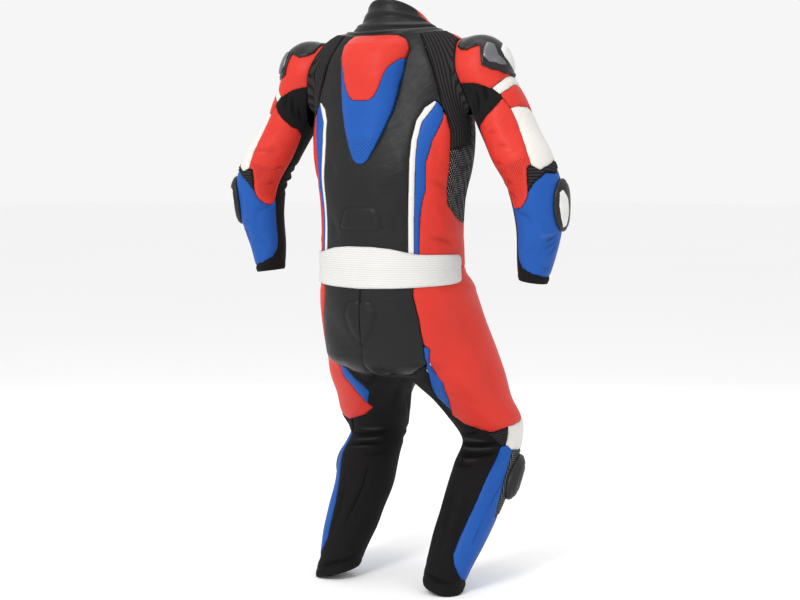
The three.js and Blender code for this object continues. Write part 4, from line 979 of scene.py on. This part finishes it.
def mesh_cloth(name, colour, thread):
    """Ribbed mesh: slanting cords 6 mm apart, each broken into light flecks of thread."""
    f = Finish(name, Specular_IOR_Level=0.12, Sheen_Weight=0.02)
    a, _, _ = f.parts(f.cut(-32))
    b, _, _ = f.parts(f.cut(52))
    cord = f.wave(a, 6.0) * 0.5 + 0.5
    break_up = f.wave(b, 5.0) * 0.5 + 0.5
    patch = f.noise(f.place(), 38, 3)
    light = (cord ** 5) * break_up.step(0.35, 0.9) * patch.step(0.22, 0.5)
    body = f.blend(shade(colour, 1.0), shade(thread, 1.0), light)
    # Painted shade in the sunken seam along the piece's edge.
    body = f.painted_seam_shade(body, shade(colour, 0.4), 1.6, least=0.25)
    return f.done(body, 0.62 + 0.2 * patch, cord * 0.7 + break_up * 0.25)


def elastic(name, colour):
    """Covered elastic: a close fine weave across level ribs, with painted shade at the edge."""
    f = Finish(name, Specular_IOR_Level=0.2, Sheen_Weight=0.02)
    u, v, _ = f.parts(f.cut())
    warp = f.wave(u, 1.4)
    rib = f.wave(v, 5.0) * 0.5 + 0.5
    slow = f.noise(f.place(), 16, 3)
    body = f.blend(shade(colour, 0.8), shade(colour, 1.02), rib * 0.5 + slow * 0.5)
    # Painted shade along the belt's rounded edge and its seams.
    body = f.painted_seam_shade(body, shade(colour, 0.6), 2.0, 0.2)
    return f.done(body, 0.66 + 0.12 * slow, warp * 0.08 + slow * 0.2)


def plastic(name, colour, rough, metal=0.0, coat=0.0, brushed=False):
    """Moulded armour: a soft sparkle of texture, thin scuffs, and a painted highlight along the edges.
    """
    f = Finish(name, Specular_IOR_Level=0.32, Coat_Weight=coat, Coat_Roughness=0.2)
    place, edge = f.place(), f.edge()
    fine, slow = f.noise(place, 600, 2), f.noise(place, 22, 4, 0.6)
    scuff = f.noise(f.scaled(place, (30, 6, 160)), 4, 5, 0.7).step(0.62, 0.7)
    body = f.blend(shade(colour, 0.8), shade(colour, 1.25), slow)
    # Scuffs are real wear; the edge band is a painted highlight that pulls the dark plastics towards a
    # paler grey.
    scuffs_and_edge_highlight = scuff * 0.35 + (1 - edge.step(0.4, 1.8)) * 0.3
    body = f.blend(body, shade([c * 0.8 + 0.03 for c in colour], 1.0), scuffs_and_edge_highlight)
    height = fine * (0.1 if brushed else 0.05) - scuff * 0.04
    return f.done(body, rough + 0.14 * slow + 0.1 * scuff, height, metal)


RED = (0.60, 0.032, 0.020)
BLUE = (0.007, 0.078, 0.35)
WHITE = (0.70, 0.68, 0.64)
BLACK = (0.0105, 0.0105, 0.011)
FINISHES = {
    "red_leather": leather("red_leather_finish", RED),
    "red_punched": leather("red_punched_finish", RED, holes=(4.4, 236, 335)),
    "blue_leather": leather("blue_leather_finish", BLUE),
    "blue_punched": leather("blue_punched_finish", BLUE, holes=(5.4, 990, 1060)),
    "white_leather": leather("white_leather_finish", WHITE, 0.5),
    "black_leather": leather("black_leather_finish", BLACK, 0.4),
    "black_stretch": stretch("black_stretch_finish", (0.0085, 0.0078, 0.0078)),
    "black_mesh": mesh_cloth("black_mesh_finish", (0.005, 0.005, 0.0052), (0.5, 0.5, 0.505)),
    "white_elastic": elastic("white_elastic_finish", (0.70, 0.69, 0.665)),
    "hard_black": plastic("hard_black_finish", (0.006, 0.0063, 0.0067), 0.34, coat=0.03),
    "slider_plastic": plastic("slider_finish", (0.008, 0.0083, 0.009), 0.4, coat=0.02),
    "plate_metal": plastic("plate_metal_finish", (0.16, 0.163, 0.17), 0.3, 0.8, brushed=True),
    "plate_white": plastic("plate_white_finish", (0.66, 0.655, 0.645), 0.32, coat=0.1),
    "zip_black": stretch("zip_tape_finish", (0.006, 0.006, 0.006), 1.2, 0.1),
    "zip_metal": plastic("zip_metal_finish", (0.12, 0.12, 0.125), 0.35, 0.9),
    "dark_thread": stretch("dark_thread_finish", (0.065, 0.065, 0.067), 0.9, 0.05),
    "red_thread": stretch("red_thread_finish", (0.75, 0.16, 0.12), 0.9, 0.05),
    "blue_thread": stretch("blue_thread_finish", (0.06, 0.17, 0.50), 0.9, 0.05),
    "white_thread": stretch("white_thread_finish", (0.42, 0.41, 0.39), 0.9, 0.05),
}
LINING = stretch("mesh_lining_finish", (0.009, 0.009, 0.0095), 2.6, 0.3)

CREASE_GAIN = 1.3
SLANT_RIB = 6.4  # pitch of the ribs at the elbow and the knee
HEM_FOLD, CUFF_FOLD = 13, 12  # how far the hem and the cuff are turned up
PADS = {"back": LUMBAR_PAD, "seat": COCCYX_PAD}


def turned_up(above, depth, high):
    """A turned-up edge: a doubled band, and the sunken line it is stitched down with, 2 mm past it."""
    return high * (1 - smooth((above - depth) / 3)) - 0.8 * np.exp(-((above - depth - 2) / 2)**2)


def relief(piece, kind, side):
    """Height of a piece's outer face over the form, in millimetres, for one side of the suit."""
    chart = piece.chart
    angle, row, edge = piece.angle, piece.row, piece.edge
    own = {"bodice": "bodice", "leg": "leg_left" if side > 0 else "leg_right"}.get(chart, chart)
    lines, sharp = creases(CREASES[own], piece.real, angle * side if chart == "bodice" else angle, row)
    inside = smooth(edge / 5 + 0.35)
    # These heights paint shade in the crease troughs and a highlight on the crests.
    piece.fold = sharp * inside
    height = seam_roll(edge) + CREASE_GAIN * lines * inside + ripple(piece.surface, side)
    if kind.endswith("_ribs"):
        low, high = rib_span(row)
        turn = {"shoulder_ribs": (angle - low) / (high - low) * SHOULDER_RIBS,
                "elbow_ribs": (row - 0.25 * angle) / SLANT_RIB,
                "knee_ribs": (row - 0.45 * angle) / SLANT_RIB}[kind]
        rib = ridges(turn, 2.3) * smooth(edge / 4)
        # Painted highlight on the rib crests and painted shade in the grooves.
        piece.fold = 1.5 * rib - 0.6
        height = seam_roll(edge) * 0.5 + rib + (0.4 * lines if kind == "shoulder_ribs" else 0)
    if kind == "flank":
        height = height + ridges((row * 0.5 + angle * piece.real) / 8.4, 0.9) * smooth(edge / 5)
    if kind in PADS:
        height = height + raised_pad(PADS[kind], piece)
    if kind == "base":
        height = height + ridges(row / 7.5, 1.4) * smooth(edge / 5)
    if chart == "leg":
        height = height + turned_up(row - hem_height(angle), HEM_FOLD, 0.9)
    if chart.startswith("sleeve"):
        height = height + turned_up(CUFF - row, CUFF_FOLD, 0.8)
    # Cloth that the belt or the hump covers is kept low.
    covered = np.zeros(len(row))
    if chart == "bodice":
        covered = smooth((820 - row) / 8) * (np.abs(angle) < 99)
        if kind == "back":
            covered = np.maximum(covered, 1 - smooth(piece.to_outline(HUMP, piece.per_degree) / 6))
    if chart == "leg":
        covered = smooth((row - 706) / 8)
    return height * (1 - covered) + np.clip(height, -1.5, 0.5) * covered


SHOULDER_RIBS = 12
RIB_INNER = np.array([[1000, 63], [1074, 62], [1118, 57], [1155, 57], [1211, 58], [1300, 59.0]])
RIB_OUTER = np.array([[1000, 100], [1074, 98], [1118, 86], [1155, 85], [1211, 85], [1300, 89.0]])


def rib_span(row):
    """First and last angle of the shoulder ribs at a height."""
    low, high = (np.interp(row, *table.T) for table in (RIB_INNER, RIB_OUTER))
    return low - 1, high + 1


def rib_grid():
    """A grid that runs with the ribs, seven points to a rib."""
    turns = np.linspace(0, 1, SHOULDER_RIBS * 7 + 1)
    turn, row = np.meshgrid(turns, np.arange(1020, 1301, 4.5))
    low, high = rib_span(row)
    return low + (high - low) * turn, row


def stitched(pieces, inset=2.7, pitch=4.6):
    """Threads along the edges of pieces: eight-sided beads 3.2 mm long, laid on the inset outline
    wherever that is the piece's own edge. Returns their points and faces for the left side."""
    points, faces = [], []
    # Corners of a bead as steps along the edge, aside and up, and its triangles.
    bead = np.array([[-1.6, 0, 0.05], [0, 0.42, 0.1], [0, 0, 0.62], [0, -0.42, 0.1], [0, 0, -0.3],
                     [1.6, 0, 0.05]])
    skin = np.array([[0, 2, 1], [0, 3, 2], [0, 4, 3], [0, 1, 4], [5, 1, 2], [5, 2, 3], [5, 3, 4],
                     [5, 4, 1]])
    for piece, height in pieces:
        flat = np.array(piece.outline, float) * [piece.real, 1]
        if np.cross(flat, np.roll(flat, -1, axis=0)).sum() < 0:
            flat = flat[::-1]
        ends = np.roll(flat, -1, axis=0)
        long = np.linalg.norm(ends - flat, axis=1)
        count = np.maximum((long / pitch).astype(int), 1)
        k = np.repeat(np.arange(len(flat)), count)
        share = (np.concatenate([np.arange(c) for c in count]) + 0.5) / np.repeat(count, count)
        way = ((ends - flat) / np.maximum(long, 1e-6)[:, None])[k]
        inward = np.stack([-way[:, 1], way[:, 0]], axis=1)
        at = flat[k] + (ends - flat)[k] * share[:, None] + inward * inset
        place = CHARTS[piece.chart][0]
        angle, row = at[:, 0] / piece.real, at[:, 1]
        surface = place(angle, row)
        level = piece.level_at(angle * piece.per_degree, row, surface)
        squeeze = piece.per_degree / piece.real
        kept = (level < -1.6 * squeeze) & (level > -(inset + 1.2))
        angle, row, surface, way = angle[kept], row[kept], surface[kept], way[kept]
        if not len(angle):
            continue
        ahead = place(angle + way[:, 0] / piece.real, row + way[:, 1])
        along = ahead - surface
        along /= np.linalg.norm(along, axis=1, keepdims=True)
        up = suit_normal(surface)
        aside = np.cross(up, along)
        gap = np.linalg.norm(piece.surface[None, ::3] - surface[:, None], axis=-1)
        lift = height[::3][gap.argmin(axis=1)]
        base = surface + up * (lift[:, None] - 0.1)
        beads = base[:, None] + bead @ np.stack([along, aside, up], axis=1)
        start = sum(len(p) for p in points)
        points.append(beads.reshape(-1, 3))
        number = len(bead) * np.arange(len(angle))[:, None, None]
        faces.append((skin + number).reshape(-1, 3) + start)
    return np.vstack(points), np.vstack(faces)


def add_stitches(name, pieces, thread, side=1):
    points, faces = stitched(pieces)
    obj = put_in_mesh(name, points * [side, 1, 1], [faces[:, ::side]], [FINISHES[thread]])
    "black_stretch" if thread == "dark_thread" else thread.replace("thread", "leather")


# Each pair: name, outline, the pieces it lies beside and yields to, chart, trim, finish, relief,
# thread and, where the usual grid is too coarse, the grid's step in degrees and millimetres.
PAIRS = [
    ("white_stripe", WHITE_STRIPE, [], "bodice", None, "white_leather", "plain", None, (0.75, 4.5)),
    ("blue_stripe", BLUE_STRIPE, [WHITE_STRIPE], "bodice", None, "blue_leather", "plain", None,
     (0.9, 4.5)),
    ("red_side", RED_SIDE, [WHITE_STRIPE, BLUE_STRIPE], "bodice", None, "red_leather", "plain",
     "red_thread", None),
    ("ribbed_shoulder", RIBBED_SHOULDER, [WHITE_STRIPE, BLUE_STRIPE, RED_SIDE], "bodice", "bodice",
     "black_stretch", "shoulder_ribs", None, "ribs"),
    ("mesh_flank", MESH_FLANK, [RED_SIDE, RIBBED_SHOULDER], "bodice", "bodice", "black_mesh", "flank",
     None, (0.75, 4)),
    ("front_panel", FRONT_PANEL, [RED_SIDE, RIBBED_SHOULDER, MESH_FLANK], "bodice", "bodice",
     "red_leather", "plain", "red_thread", None),
    ("arm_band", ARM_BAND, [], "sleeve", None, "white_leather", "plain", "white_thread", (2.4, 2)),
    ("shoulder_red", SHOULDER_RED, [ARM_BAND], "sleeve", "sleeve", "red_leather", "plain", "red_thread",
     None),
    ("outer_arm_red", OUTER_ARM_RED, [ARM_BAND], "sleeve", None, "red_leather", "plain", "red_thread",
     None),
    ("upper_arm_white", UPPER_ARM_WHITE, [OUTER_ARM_RED], "sleeve", None, "white_leather", "plain",
     "white_thread", None),
    ("elbow_ribs", ELBOW_RIBS, [UPPER_ARM_WHITE], "sleeve", None, "black_stretch", "elbow_ribs", None,
     (2.4, 0.95)),
    ("upper_arm_red", UPPER_ARM_RED, [ARM_BAND, SHOULDER_RED, OUTER_ARM_RED, UPPER_ARM_WHITE,
      ELBOW_RIBS], "sleeve", None, "red_punched", "plain", "red_thread", None),
    ("forearm_blue", FOREARM_BLUE, [UPPER_ARM_RED, UPPER_ARM_WHITE, ELBOW_RIBS], "sleeve", None,
     "blue_leather", "plain", "blue_thread", None),
    ("arm_stretch", ARM_STRETCH, [ARM_BAND, SHOULDER_RED, OUTER_ARM_RED, UPPER_ARM_WHITE, ELBOW_RIBS,
      UPPER_ARM_RED, FOREARM_BLUE], "sleeve", "sleeve", "black_stretch", "plain", None, None),
    ("thigh_blue", THIGH_BLUE, [], "leg", None, "blue_leather", "plain", "blue_thread", (1.6, 3)),
    ("seat", SEAT, [THIGH_BLUE], "leg", "middle", "black_leather", "seat", "dark_thread", (1.6, 3)),
    ("thigh_red", THIGH_RED, [THIGH_BLUE, SEAT, KNEE_WHITE], "leg", None, "red_leather", "plain",
     "red_thread", None),
    ("knee_white", KNEE_WHITE, [], "leg", None, "white_leather", "plain", "white_thread", None),
    ("knee_ribs", KNEE_RIBS, [KNEE_WHITE, THIGH_RED], "leg", None, "black_stretch", "knee_ribs", None,
     (1.6, 1)),
    ("shin_blue", SHIN_BLUE, [KNEE_WHITE, KNEE_RIBS], "leg", None, "blue_leather", "plain",
     "blue_thread", None),
    ("knee_base", KNEE_BASE, [KNEE_WHITE, SHIN_BLUE], "leg", None, "black_mesh", "base", None,
     (2.4, 1.9)),
    ("front_thigh", FRONT_THIGH, [THIGH_RED, KNEE_WHITE], "leg", "middle", "black_leather", "plain",
     "dark_thread", None),
    ("leg_stretch", LEG_STRETCH, [THIGH_BLUE, SEAT, THIGH_RED, KNEE_WHITE, KNEE_RIBS, SHIN_BLUE,
      KNEE_BASE], "leg", "middle", "black_stretch", "plain", None, (2.0, 3.2)),
]
SIDES = ((1, "_left"), (-1, "_right"))


def both_sides(outline, before, chart, trim=None, grid=None, step=None):
    """One piece for both sides, or one for each where the two sleeves lie differently."""
    if chart == "sleeve":
        return [Piece(outline, before, chart + word, trim, grid, step) for _, word in SIDES]
    return [Piece(outline, before, chart, trim, grid, step)] * 2


sewn = {}
for name, outline, before, chart, trim, finish, kind, thread, step in PAIRS:
    grid, step = (rib_grid(), None) if step == "ribs" else (None, step)
    pieces = both_sides(outline, before, chart, trim, grid, step)
    for (side, word), piece in zip(SIDES, pieces):
        high = relief(piece, kind, side)
        finishes = [FINISHES[finish], LINING]
        obj = piece.build("cloth_" + name + word, name + word, finishes, high - WALL, high, side)
        width, length, area = piece.size
        "stretched" if "stretch" in finish else "draped"
        if thread:
            sewn.setdefault((chart, thread, side, word), []).append((piece, high))
for (chart, thread, side, word), pieces in sewn.items():
    add_stitches("stitches_" + chart + "_" + thread + word, pieces, thread, side)


def add_single(name, node, piece, finish, low, high, held=None, slot=None):
    """A piece that crosses the middle: held names how a sheet is held, and only a sheet is
    lined."""
    finishes = [FINISHES[finish], LINING if held else FINISHES[finish]]
    obj = piece.build(name, node, finishes, low, high)
    slot or finish
    if held:
        width, length, area = piece.size


# The back, and what lies on it.
beside = [WHITE_STRIPE, BLUE_STRIPE, RED_SIDE, RIBBED_SHOULDER]
back = Piece(BACK_BLACK, beside + [mirrored(o) for o in beside], step=(1.1, 3.2))
back_height = relief(back, "back", 1)
add_single("cloth_back_panel", "back_panel", back, "black_leather", back_height - WALL, back_height,
           "draped")
zip_tape = Piece(FRONT_ZIP, [FRONT_PANEL], step=(0.45, 4))
tape_height = np.full(len(zip_tape.row), -0.9)
add_single("cloth_front_zip", "front_zip", zip_tape, "zip_black", tape_height - 0.8, tape_height,
           "draped")

belt = Piece(WAIST_BELT, step=(1.5, 0.85))
round_edge = 1 - np.clip(belt.edge / 3.0, 0, 1)
belt_ribs = ridges(belt.row / 5.0, 1.1, 0.6) * smooth(belt.edge / 3)
BELT_CREASES = [(-70, 735, -58, 775, 9, -1.2, 3), (62, 730, 74, 776, 9, -1.2, -3),
                (-20, 722, -14, 796, 14, 1.2, 3)]
belt_folds, _ = creases(BELT_CREASES, belt.real, belt.angle, belt.row)
belt_high = BELT_LIE + BELT_THICK - 1.6 * round_edge**2 + belt_ribs
belt_high = belt_high + 0.3 * ripple(belt.surface, 1) + 0.5 * belt_folds
add_single("cloth_waist_belt", "waist_belt", belt, "white_elastic", np.full(len(belt.row), BELT_LIE),
           belt_high, "stretched")


def hump_height(piece):
    """The hump's rise: its height at the middle of each row times 1 - f^3.2, f being the share of the
    way to its side, rounded off over the last 9 mm and pressed in along its seams."""
    top, half = (np.interp(piece.row, HUMP_RISE[:, 0], HUMP_RISE[:, k]) for k in (1, 2))
    f = np.minimum(np.abs(piece.angle) / half, 1)
    own = np.maximum(-piece.to_outline(HUMP, piece.per_degree), 0)
    high = OVERLAY_LIE + 3 + (top - 3) * (1 - f**3.2)
    return high - 2.2 * (1 - smooth(own / 9)) - 1.0 * np.exp(-(piece.edge / 2.6)**1.5)


hump_blue = Piece(HUMP, [HUMP_RED], step=(1.1, 3.2))
hump_red = Piece(HUMP_RED, step=(1.1, 3.2), within=HUMP)
for name, piece, finish in (("hump_blue", hump_blue, "blue_punched"),
                            ("hump_red", hump_red, "red_leather")):
    add_single("pad_" + name, name, piece, finish, np.full(len(piece.row), 0.8), hump_height(piece),
               slot=finish.replace("punched", "leather"))
add_stitches("stitches_back", [(back, back_height)], "dark_thread")
add_stitches("stitches_hump_red", [(hump_red, hump_height(hump_red))], "red_thread")
add_stitches("stitches_hump_blue", [(hump_blue, hump_height(hump_blue))], "blue_thread")
add_stitches("stitches_belt", [(belt, belt_high)], "white_thread")

# The stand collar. Its front begins at 130 degrees at the foot and at 64 at the top.
SPLIT_FOOT, SPLIT_TOP, SPLIT_GAP = 130, 64, 0.16
COLLAR_SCALE = 1.7  # millimetres per degree round the collar
# Folds of the collar: share of the way up, half width, height and how far they wander.
BACK_FOLDS = [(0.14, 0.05, -1.6, 0.03), (0.28, 0.06, 3.0, 0.05), (0.42, 0.045, -3.6, 0.06),
              (0.56, 0.06, 3.0, 0.03), (0.69, 0.04, -3.2, -0.03), (0.80, 0.05, 2.0, 0.02)]
FRONT_FOLDS = [(0.3, 0.08, 1.2, 0.03), (0.55, 0.06, -1.4, 0.03)]


def collar_at(angle, f):
    """A curve from the neck seam out to a turn point and up to an oval ring that dips at the throat:
    foot (1-f)^2 + 2 turn f(1-f) + top f^2."""
    t = np.radians(angle)
    foot = bodice_at(angle, 1284 + 8 * np.cos(t) + 0.45)
    top = np.stack([68 * np.sin(t), -22 + 72 * np.cos(t), 1337 + 38 * np.cos(t)], axis=-1)
    turn = top + (foot - top) * [0.5, 0.3, 0.87]
    f = f[..., None]
    return foot * (1 - f)**2 + turn * 2 * f * (1 - f) + top * f**2


def add_collar(name, middle, foot_span, top_span, finish, folds):
    """Collar cloth about a middle angle, its half span going from foot_span to top_span: the curve
    above, moved out by soft level folds that wander with the angle, with a rolled top edge."""
    share, f = np.meshgrid(np.linspace(-1, 1, int(foot_span * 1.3)), np.linspace(0, 1, 44))
    span = foot_span + (top_span - foot_span) * f
    angle = middle + share * span
    surface = collar_at(angle, f)
    across, up = np.gradient(surface, axis=1), np.gradient(surface, axis=0)
    normal = np.cross(up, across)
    normal /= np.linalg.norm(normal, axis=-1, keepdims=True)
    if (normal[..., :2] * surface[..., :2]).sum() < 0:
        normal = -normal
    t = np.radians(angle)
    sides = np.clip((1 - np.abs(share)) * span / 14, 0, 1)
    height = np.zeros_like(f)
    for at, wide, high, wander in folds:
        centre = at + wander * np.sin(1.3 * t + 9 * at)
        fold = high * np.exp(-((f - centre) / wide)**2) * (0.4 + 0.6 * sides)
        height += fold * (0.75 + 0.25 * np.cos(2.1 * t + 5 * at))
    # These fold heights also paint shade in the collar's troughs and a highlight on its crests.
    folded = height
    roll = 1.2 * np.exp(-((f - 0.965) / 0.03)**2)
    height = height + 0.5 * ripple(surface, 1) * f - 0.8 * np.exp(-(f / 0.04)**2)
    outer = surface + normal * (height + roll)[..., None]
    inner = surface + normal * (height - COLLAR_WALL - roll)[..., None]
    nj, ni = f.shape
    n = nj * ni
    grid = np.arange(n).reshape(nj, ni)
    quads = np.stack([grid[:-1, :-1], grid[:-1, 1:], grid[1:, 1:], grid[1:, :-1]], axis=-1)
    quads = quads.reshape(-1, 4)
    p = outer.reshape(-1, 3)
    turn = np.cross(p[quads[:, 1]] - p[quads[:, 0]], p[quads[:, 2]] - p[quads[:, 0]])
    if (turn * normal.reshape(-1, 3)[quads[:, 0]]).sum() < 0:
        quads = quads[:, ::-1]
    a, b = border_of([quads], n)
    rim = np.stack([b, a, a + n, b + n], axis=1)
    up_mm = np.cumsum(np.linalg.norm(np.diff(surface, axis=0, prepend=surface[:1]), axis=-1), axis=0)
    uv = np.stack([angle * COLLAR_SCALE, 1290 + up_mm], axis=-1).reshape(-1, 2) / 1000
    to_side = (1 - np.abs(share)) * span * COLLAR_SCALE
    edge = np.minimum(to_side, np.minimum(up_mm, up_mm[-1] - up_mm + 0.3)).reshape(-1)
    obj = put_in_mesh("cloth_" + name, np.vstack([p, inner.reshape(-1, 3)]),
                      [quads, quads[:, ::-1] + n, rim], [FINISHES[finish], LINING], (1,),
                      np.vstack([uv, uv]), edge=np.tile(edge, 2), fold=np.tile(folded.reshape(-1), 2))
    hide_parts(name)
    area = area_of(surface.reshape(-1, 3), [quads]) / 1e6


add_collar("collar_back", 0, SPLIT_FOOT - SPLIT_GAP, SPLIT_TOP - SPLIT_GAP, "black_leather",
           BACK_FOLDS)
add_collar("collar_front", 180, 180 - SPLIT_FOOT - SPLIT_GAP, 180 - SPLIT_TOP - SPLIT_GAP,
           "red_leather", FRONT_FOLDS)


def hard_height(piece, outline, height, edge, round_over):
    """Moulded shell: edge plus (height - edge) * sqrt(1 - (1 - d)^2), d being the share of the
    rounding distance from the outline."""
    d = np.clip(-piece.to_outline(outline, piece.per_degree) / round_over, 0, 1)
    return edge + (height - edge) * np.sqrt(1 - (1 - d)**2)


def add_hard(name, node, outline, chart, finish, low, high, step, trim=None):
    """A moulded piece and its twin. low and high are functions of the piece that give its two faces."""
    for (side, word), piece in zip(SIDES, both_sides(outline, [], chart, trim, step=step)):
        finishes = [FINISHES[finish]] * 2
        obj = piece.build(name + word, node + word, finishes, low(piece), high(piece), side)


def level_foot(height):
    """A flat lower face at one height over the form."""
    return lambda piece: np.full(len(piece.row), height)


def plate_base(piece):
    return 1.3 + hard_height(piece, PLATE, 4.6, 1.6, 12)


add_hard("armour_plate_base", "shoulder_plate", PLATE, "sleeve", "hard_black", level_foot(1.3),
         lambda p: plate_base(p) + 1.6 * np.exp(-((p.edge - 4) / 2.6)**2), (1.6, 1.6), "sleeve")
add_hard("armour_plate_metal", "shoulder_plate", PLATE_METAL, "sleeve", "plate_metal", plate_base,
         lambda p: plate_base(p) + 1.4 + 2.2 * smooth(p.edge / 3), (1.6, 1.3), "sleeve")
add_hard("armour_plate_cover", "shoulder_plate", PLATE_COVER, "sleeve", "plate_white", plate_base,
         lambda p: plate_base(p) + 1.2 + 2.6 * smooth(p.edge / 9), (1.6, 1.6), "sleeve")
ELBOW_OVAL, KNEE_OVAL = oval(*ELBOW_PUCK), oval(*KNEE_PUCK)
ELBOW_INLAY = [(74, 318), (82, 314), (93, 330), (98, 352), (95, 378), (86, 382), (76, 362), (71, 340)]


def elbow_top(piece):
    return 0.6 + hard_height(piece, ELBOW_OVAL, 15, 4, 26)


def knee_top(piece):
    """The knee slider with a groove 9 mm and another 24 mm from its edge."""
    height = 0.75 + hard_height(piece, KNEE_OVAL, 24, 5, 34)
    height = height - 1.5 * np.exp(-((piece.edge - 9) / 1.8)**2)
    return height - 1.2 * np.exp(-((piece.edge - 24) / 2)**2)


add_hard("slider_elbow", "elbow_slider", ELBOW_OVAL, "sleeve", "slider_plastic", level_foot(0.8),
         lambda p: elbow_top(p) - 1.2 * np.exp(-((p.edge - 10) / 1.6)**2), (1.6, 1.6))
add_hard("slider_elbow_inlay", "elbow_slider", ELBOW_INLAY, "sleeve", "plate_white",
         lambda p: elbow_top(p) - 1.5, lambda p: elbow_top(p) + 0.7 * smooth(p.edge / 1.6) - 0.2,
         (1.2, 1.2), None)
add_hard("slider_knee", "knee_slider", KNEE_OVAL, "leg", "slider_plastic", level_foot(0.9), knee_top,
         (1.4, 1.8))


def add_zip():
    """Two rows of teeth down the chest, 3.2 mm apart along the tape, and a puller near the neck."""
    row = np.arange(BODICE_FOOT + 4, 1262, 3.2)
    # Corners of a tooth as steps across the tape, up and along it, and its sides.
    block = np.array([[x, y, z] for z in (-0.8, 0.8) for y in (-0.9, 0.9) for x in (-1.5, 1.5)])
    skin = np.array([[0, 2, 3, 1], [4, 5, 7, 6], [0, 1, 5, 4], [2, 6, 7, 3], [0, 4, 6, 2],
                     [1, 3, 7, 5]])
    both = np.concatenate([row, row + 1.6])
    aside = np.concatenate([np.full(len(row), 0.9), np.full(len(row), -0.9)])
    surface = bodice_at(np.full(len(both), 180.0), both)
    up = suit_normal(surface)
    along = np.cross(up, [1, 0, 0])
    middle = surface + up * 0.2 + np.array([1, 0, 0]) * aside[:, None]
    across = np.broadcast_to([1.0, 0, 0], up.shape)
    points = middle[:, None] + block @ np.stack([across, up, along], axis=1)
    faces = (skin + len(block) * np.arange(len(both))[:, None, None]).reshape(-1, 4)
    p = points.reshape(-1, 3)
    q = p[faces[:6]]
    turned = np.cross(q[:, 1] - q[:, 0], q[:, 2] - q[:, 0])
    if (turned * (q.mean(axis=1) - p[:8].mean(axis=0))).sum() < 0:
        faces = faces[:, ::-1]
    put_in_mesh("zip_teeth", p, [faces], [FINISHES["zip_metal"]])
    puller = Piece([(179.0, 1252), (181.0, 1252), (181.2, 1262), (178.8, 1262)], step=(0.3, 1.2))
    high = 2.6 + 0.6 * smooth(puller.edge / 1.5)
    add_single("zip_puller", "front_zip", puller, "zip_metal", np.full(len(high), 1.3), high,
               slot="zip_black")


add_zip()

# Floor, light and camera.
LOW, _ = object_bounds()


def add_floor():
    """A flat round floor, 60 m across, just under the hems."""
    turn = np.linspace(0, 2 * math.pi, 97)[:-1]
    level = LOW.z - 0.0004
    rim = np.stack([30 * np.cos(turn), 30 * np.sin(turn), np.full(96, level)], axis=-1)
    mesh = bpy.data.meshes.new("floor")
    mesh.from_pydata(rim.tolist(), [], [list(range(96))])
    pale = Finish("pale_floor_finish", Roughness=0.9, Specular_IOR_Level=0.1)
    tone = pale.noise(pale.place(), 0.6, 2)
    colour = pale.blend(shade((1, 1, 1), 0.965), shade((1, 1, 1), 0.985), tone)
    mesh.materials.append(pale.done(colour))
    floor = bpy.data.objects.new("floor", mesh)
    bpy.context.collection.objects.link(floor)


add_floor()


# The camera's angle round the suit, its angle up and its distance. BACK points from TARGET to it.
AZIMUTH, ELEVATION, DISTANCE = math.radians(211), math.radians(5), 4.0
TARGET = Vector((0, 0, 0.678 - HELD_HEIGHT / 1000))
RIGHT, UP = Vector((math.cos(AZIMUTH), math.sin(AZIMUTH), 0)), Vector((0, 0, 1))
BACK = Vector((math.sin(AZIMUTH) * math.cos(ELEVATION), -math.cos(AZIMUTH) * math.cos(ELEVATION),
               math.sin(ELEVATION)))


def add_light(name, place, size, watts):
    """A square light aimed at the middle of the suit."""
    data = bpy.data.lights.new(name, "AREA")
    data.energy, data.size = watts, size
    light = bpy.data.objects.new(name, data)
    light.location = place
    light.rotation_euler = (TARGET - place).to_track_quat("-Z", "Y").to_euler()
    bpy.context.collection.objects.link(light)


add_light("key", TARGET + BACK * 2.6 - RIGHT * 1.6 + UP * 1.9, 1.0, 60)
add_light("fill", TARGET + BACK * 2.4 + RIGHT * 2.4 + UP * 0.9, 2.2, 7)
add_light("top", UP * 2.4, 1.4, 14)
add_light("front", TARGET - BACK * 2.8 + UP * 1.4, 2.4, 16)
world = bpy.data.worlds.new("studio")
world.use_nodes = True
world.node_tree.nodes["Background"].inputs["Color"].default_value = (1, 1, 1, 1)
world.node_tree.nodes["Background"].inputs["Strength"].default_value = 0.92
bpy.context.scene.world = world
bpy.context.scene.view_settings.view_transform = "Standard"

camera_data = bpy.data.cameras.new("camera")
camera_data.lens, camera_data.sensor_width, camera_data.shift_x = 76.5, 36, 0.0075
camera = bpy.data.objects.new("camera", camera_data)
camera.location = TARGET + BACK * DISTANCE
camera.rotation_mode = "QUATERNION"
camera.rotation_quaternion = (-BACK).to_track_quat("-Z", "Y")
bpy.context.collection.objects.link(camera)
bpy.context.scene.camera = camera
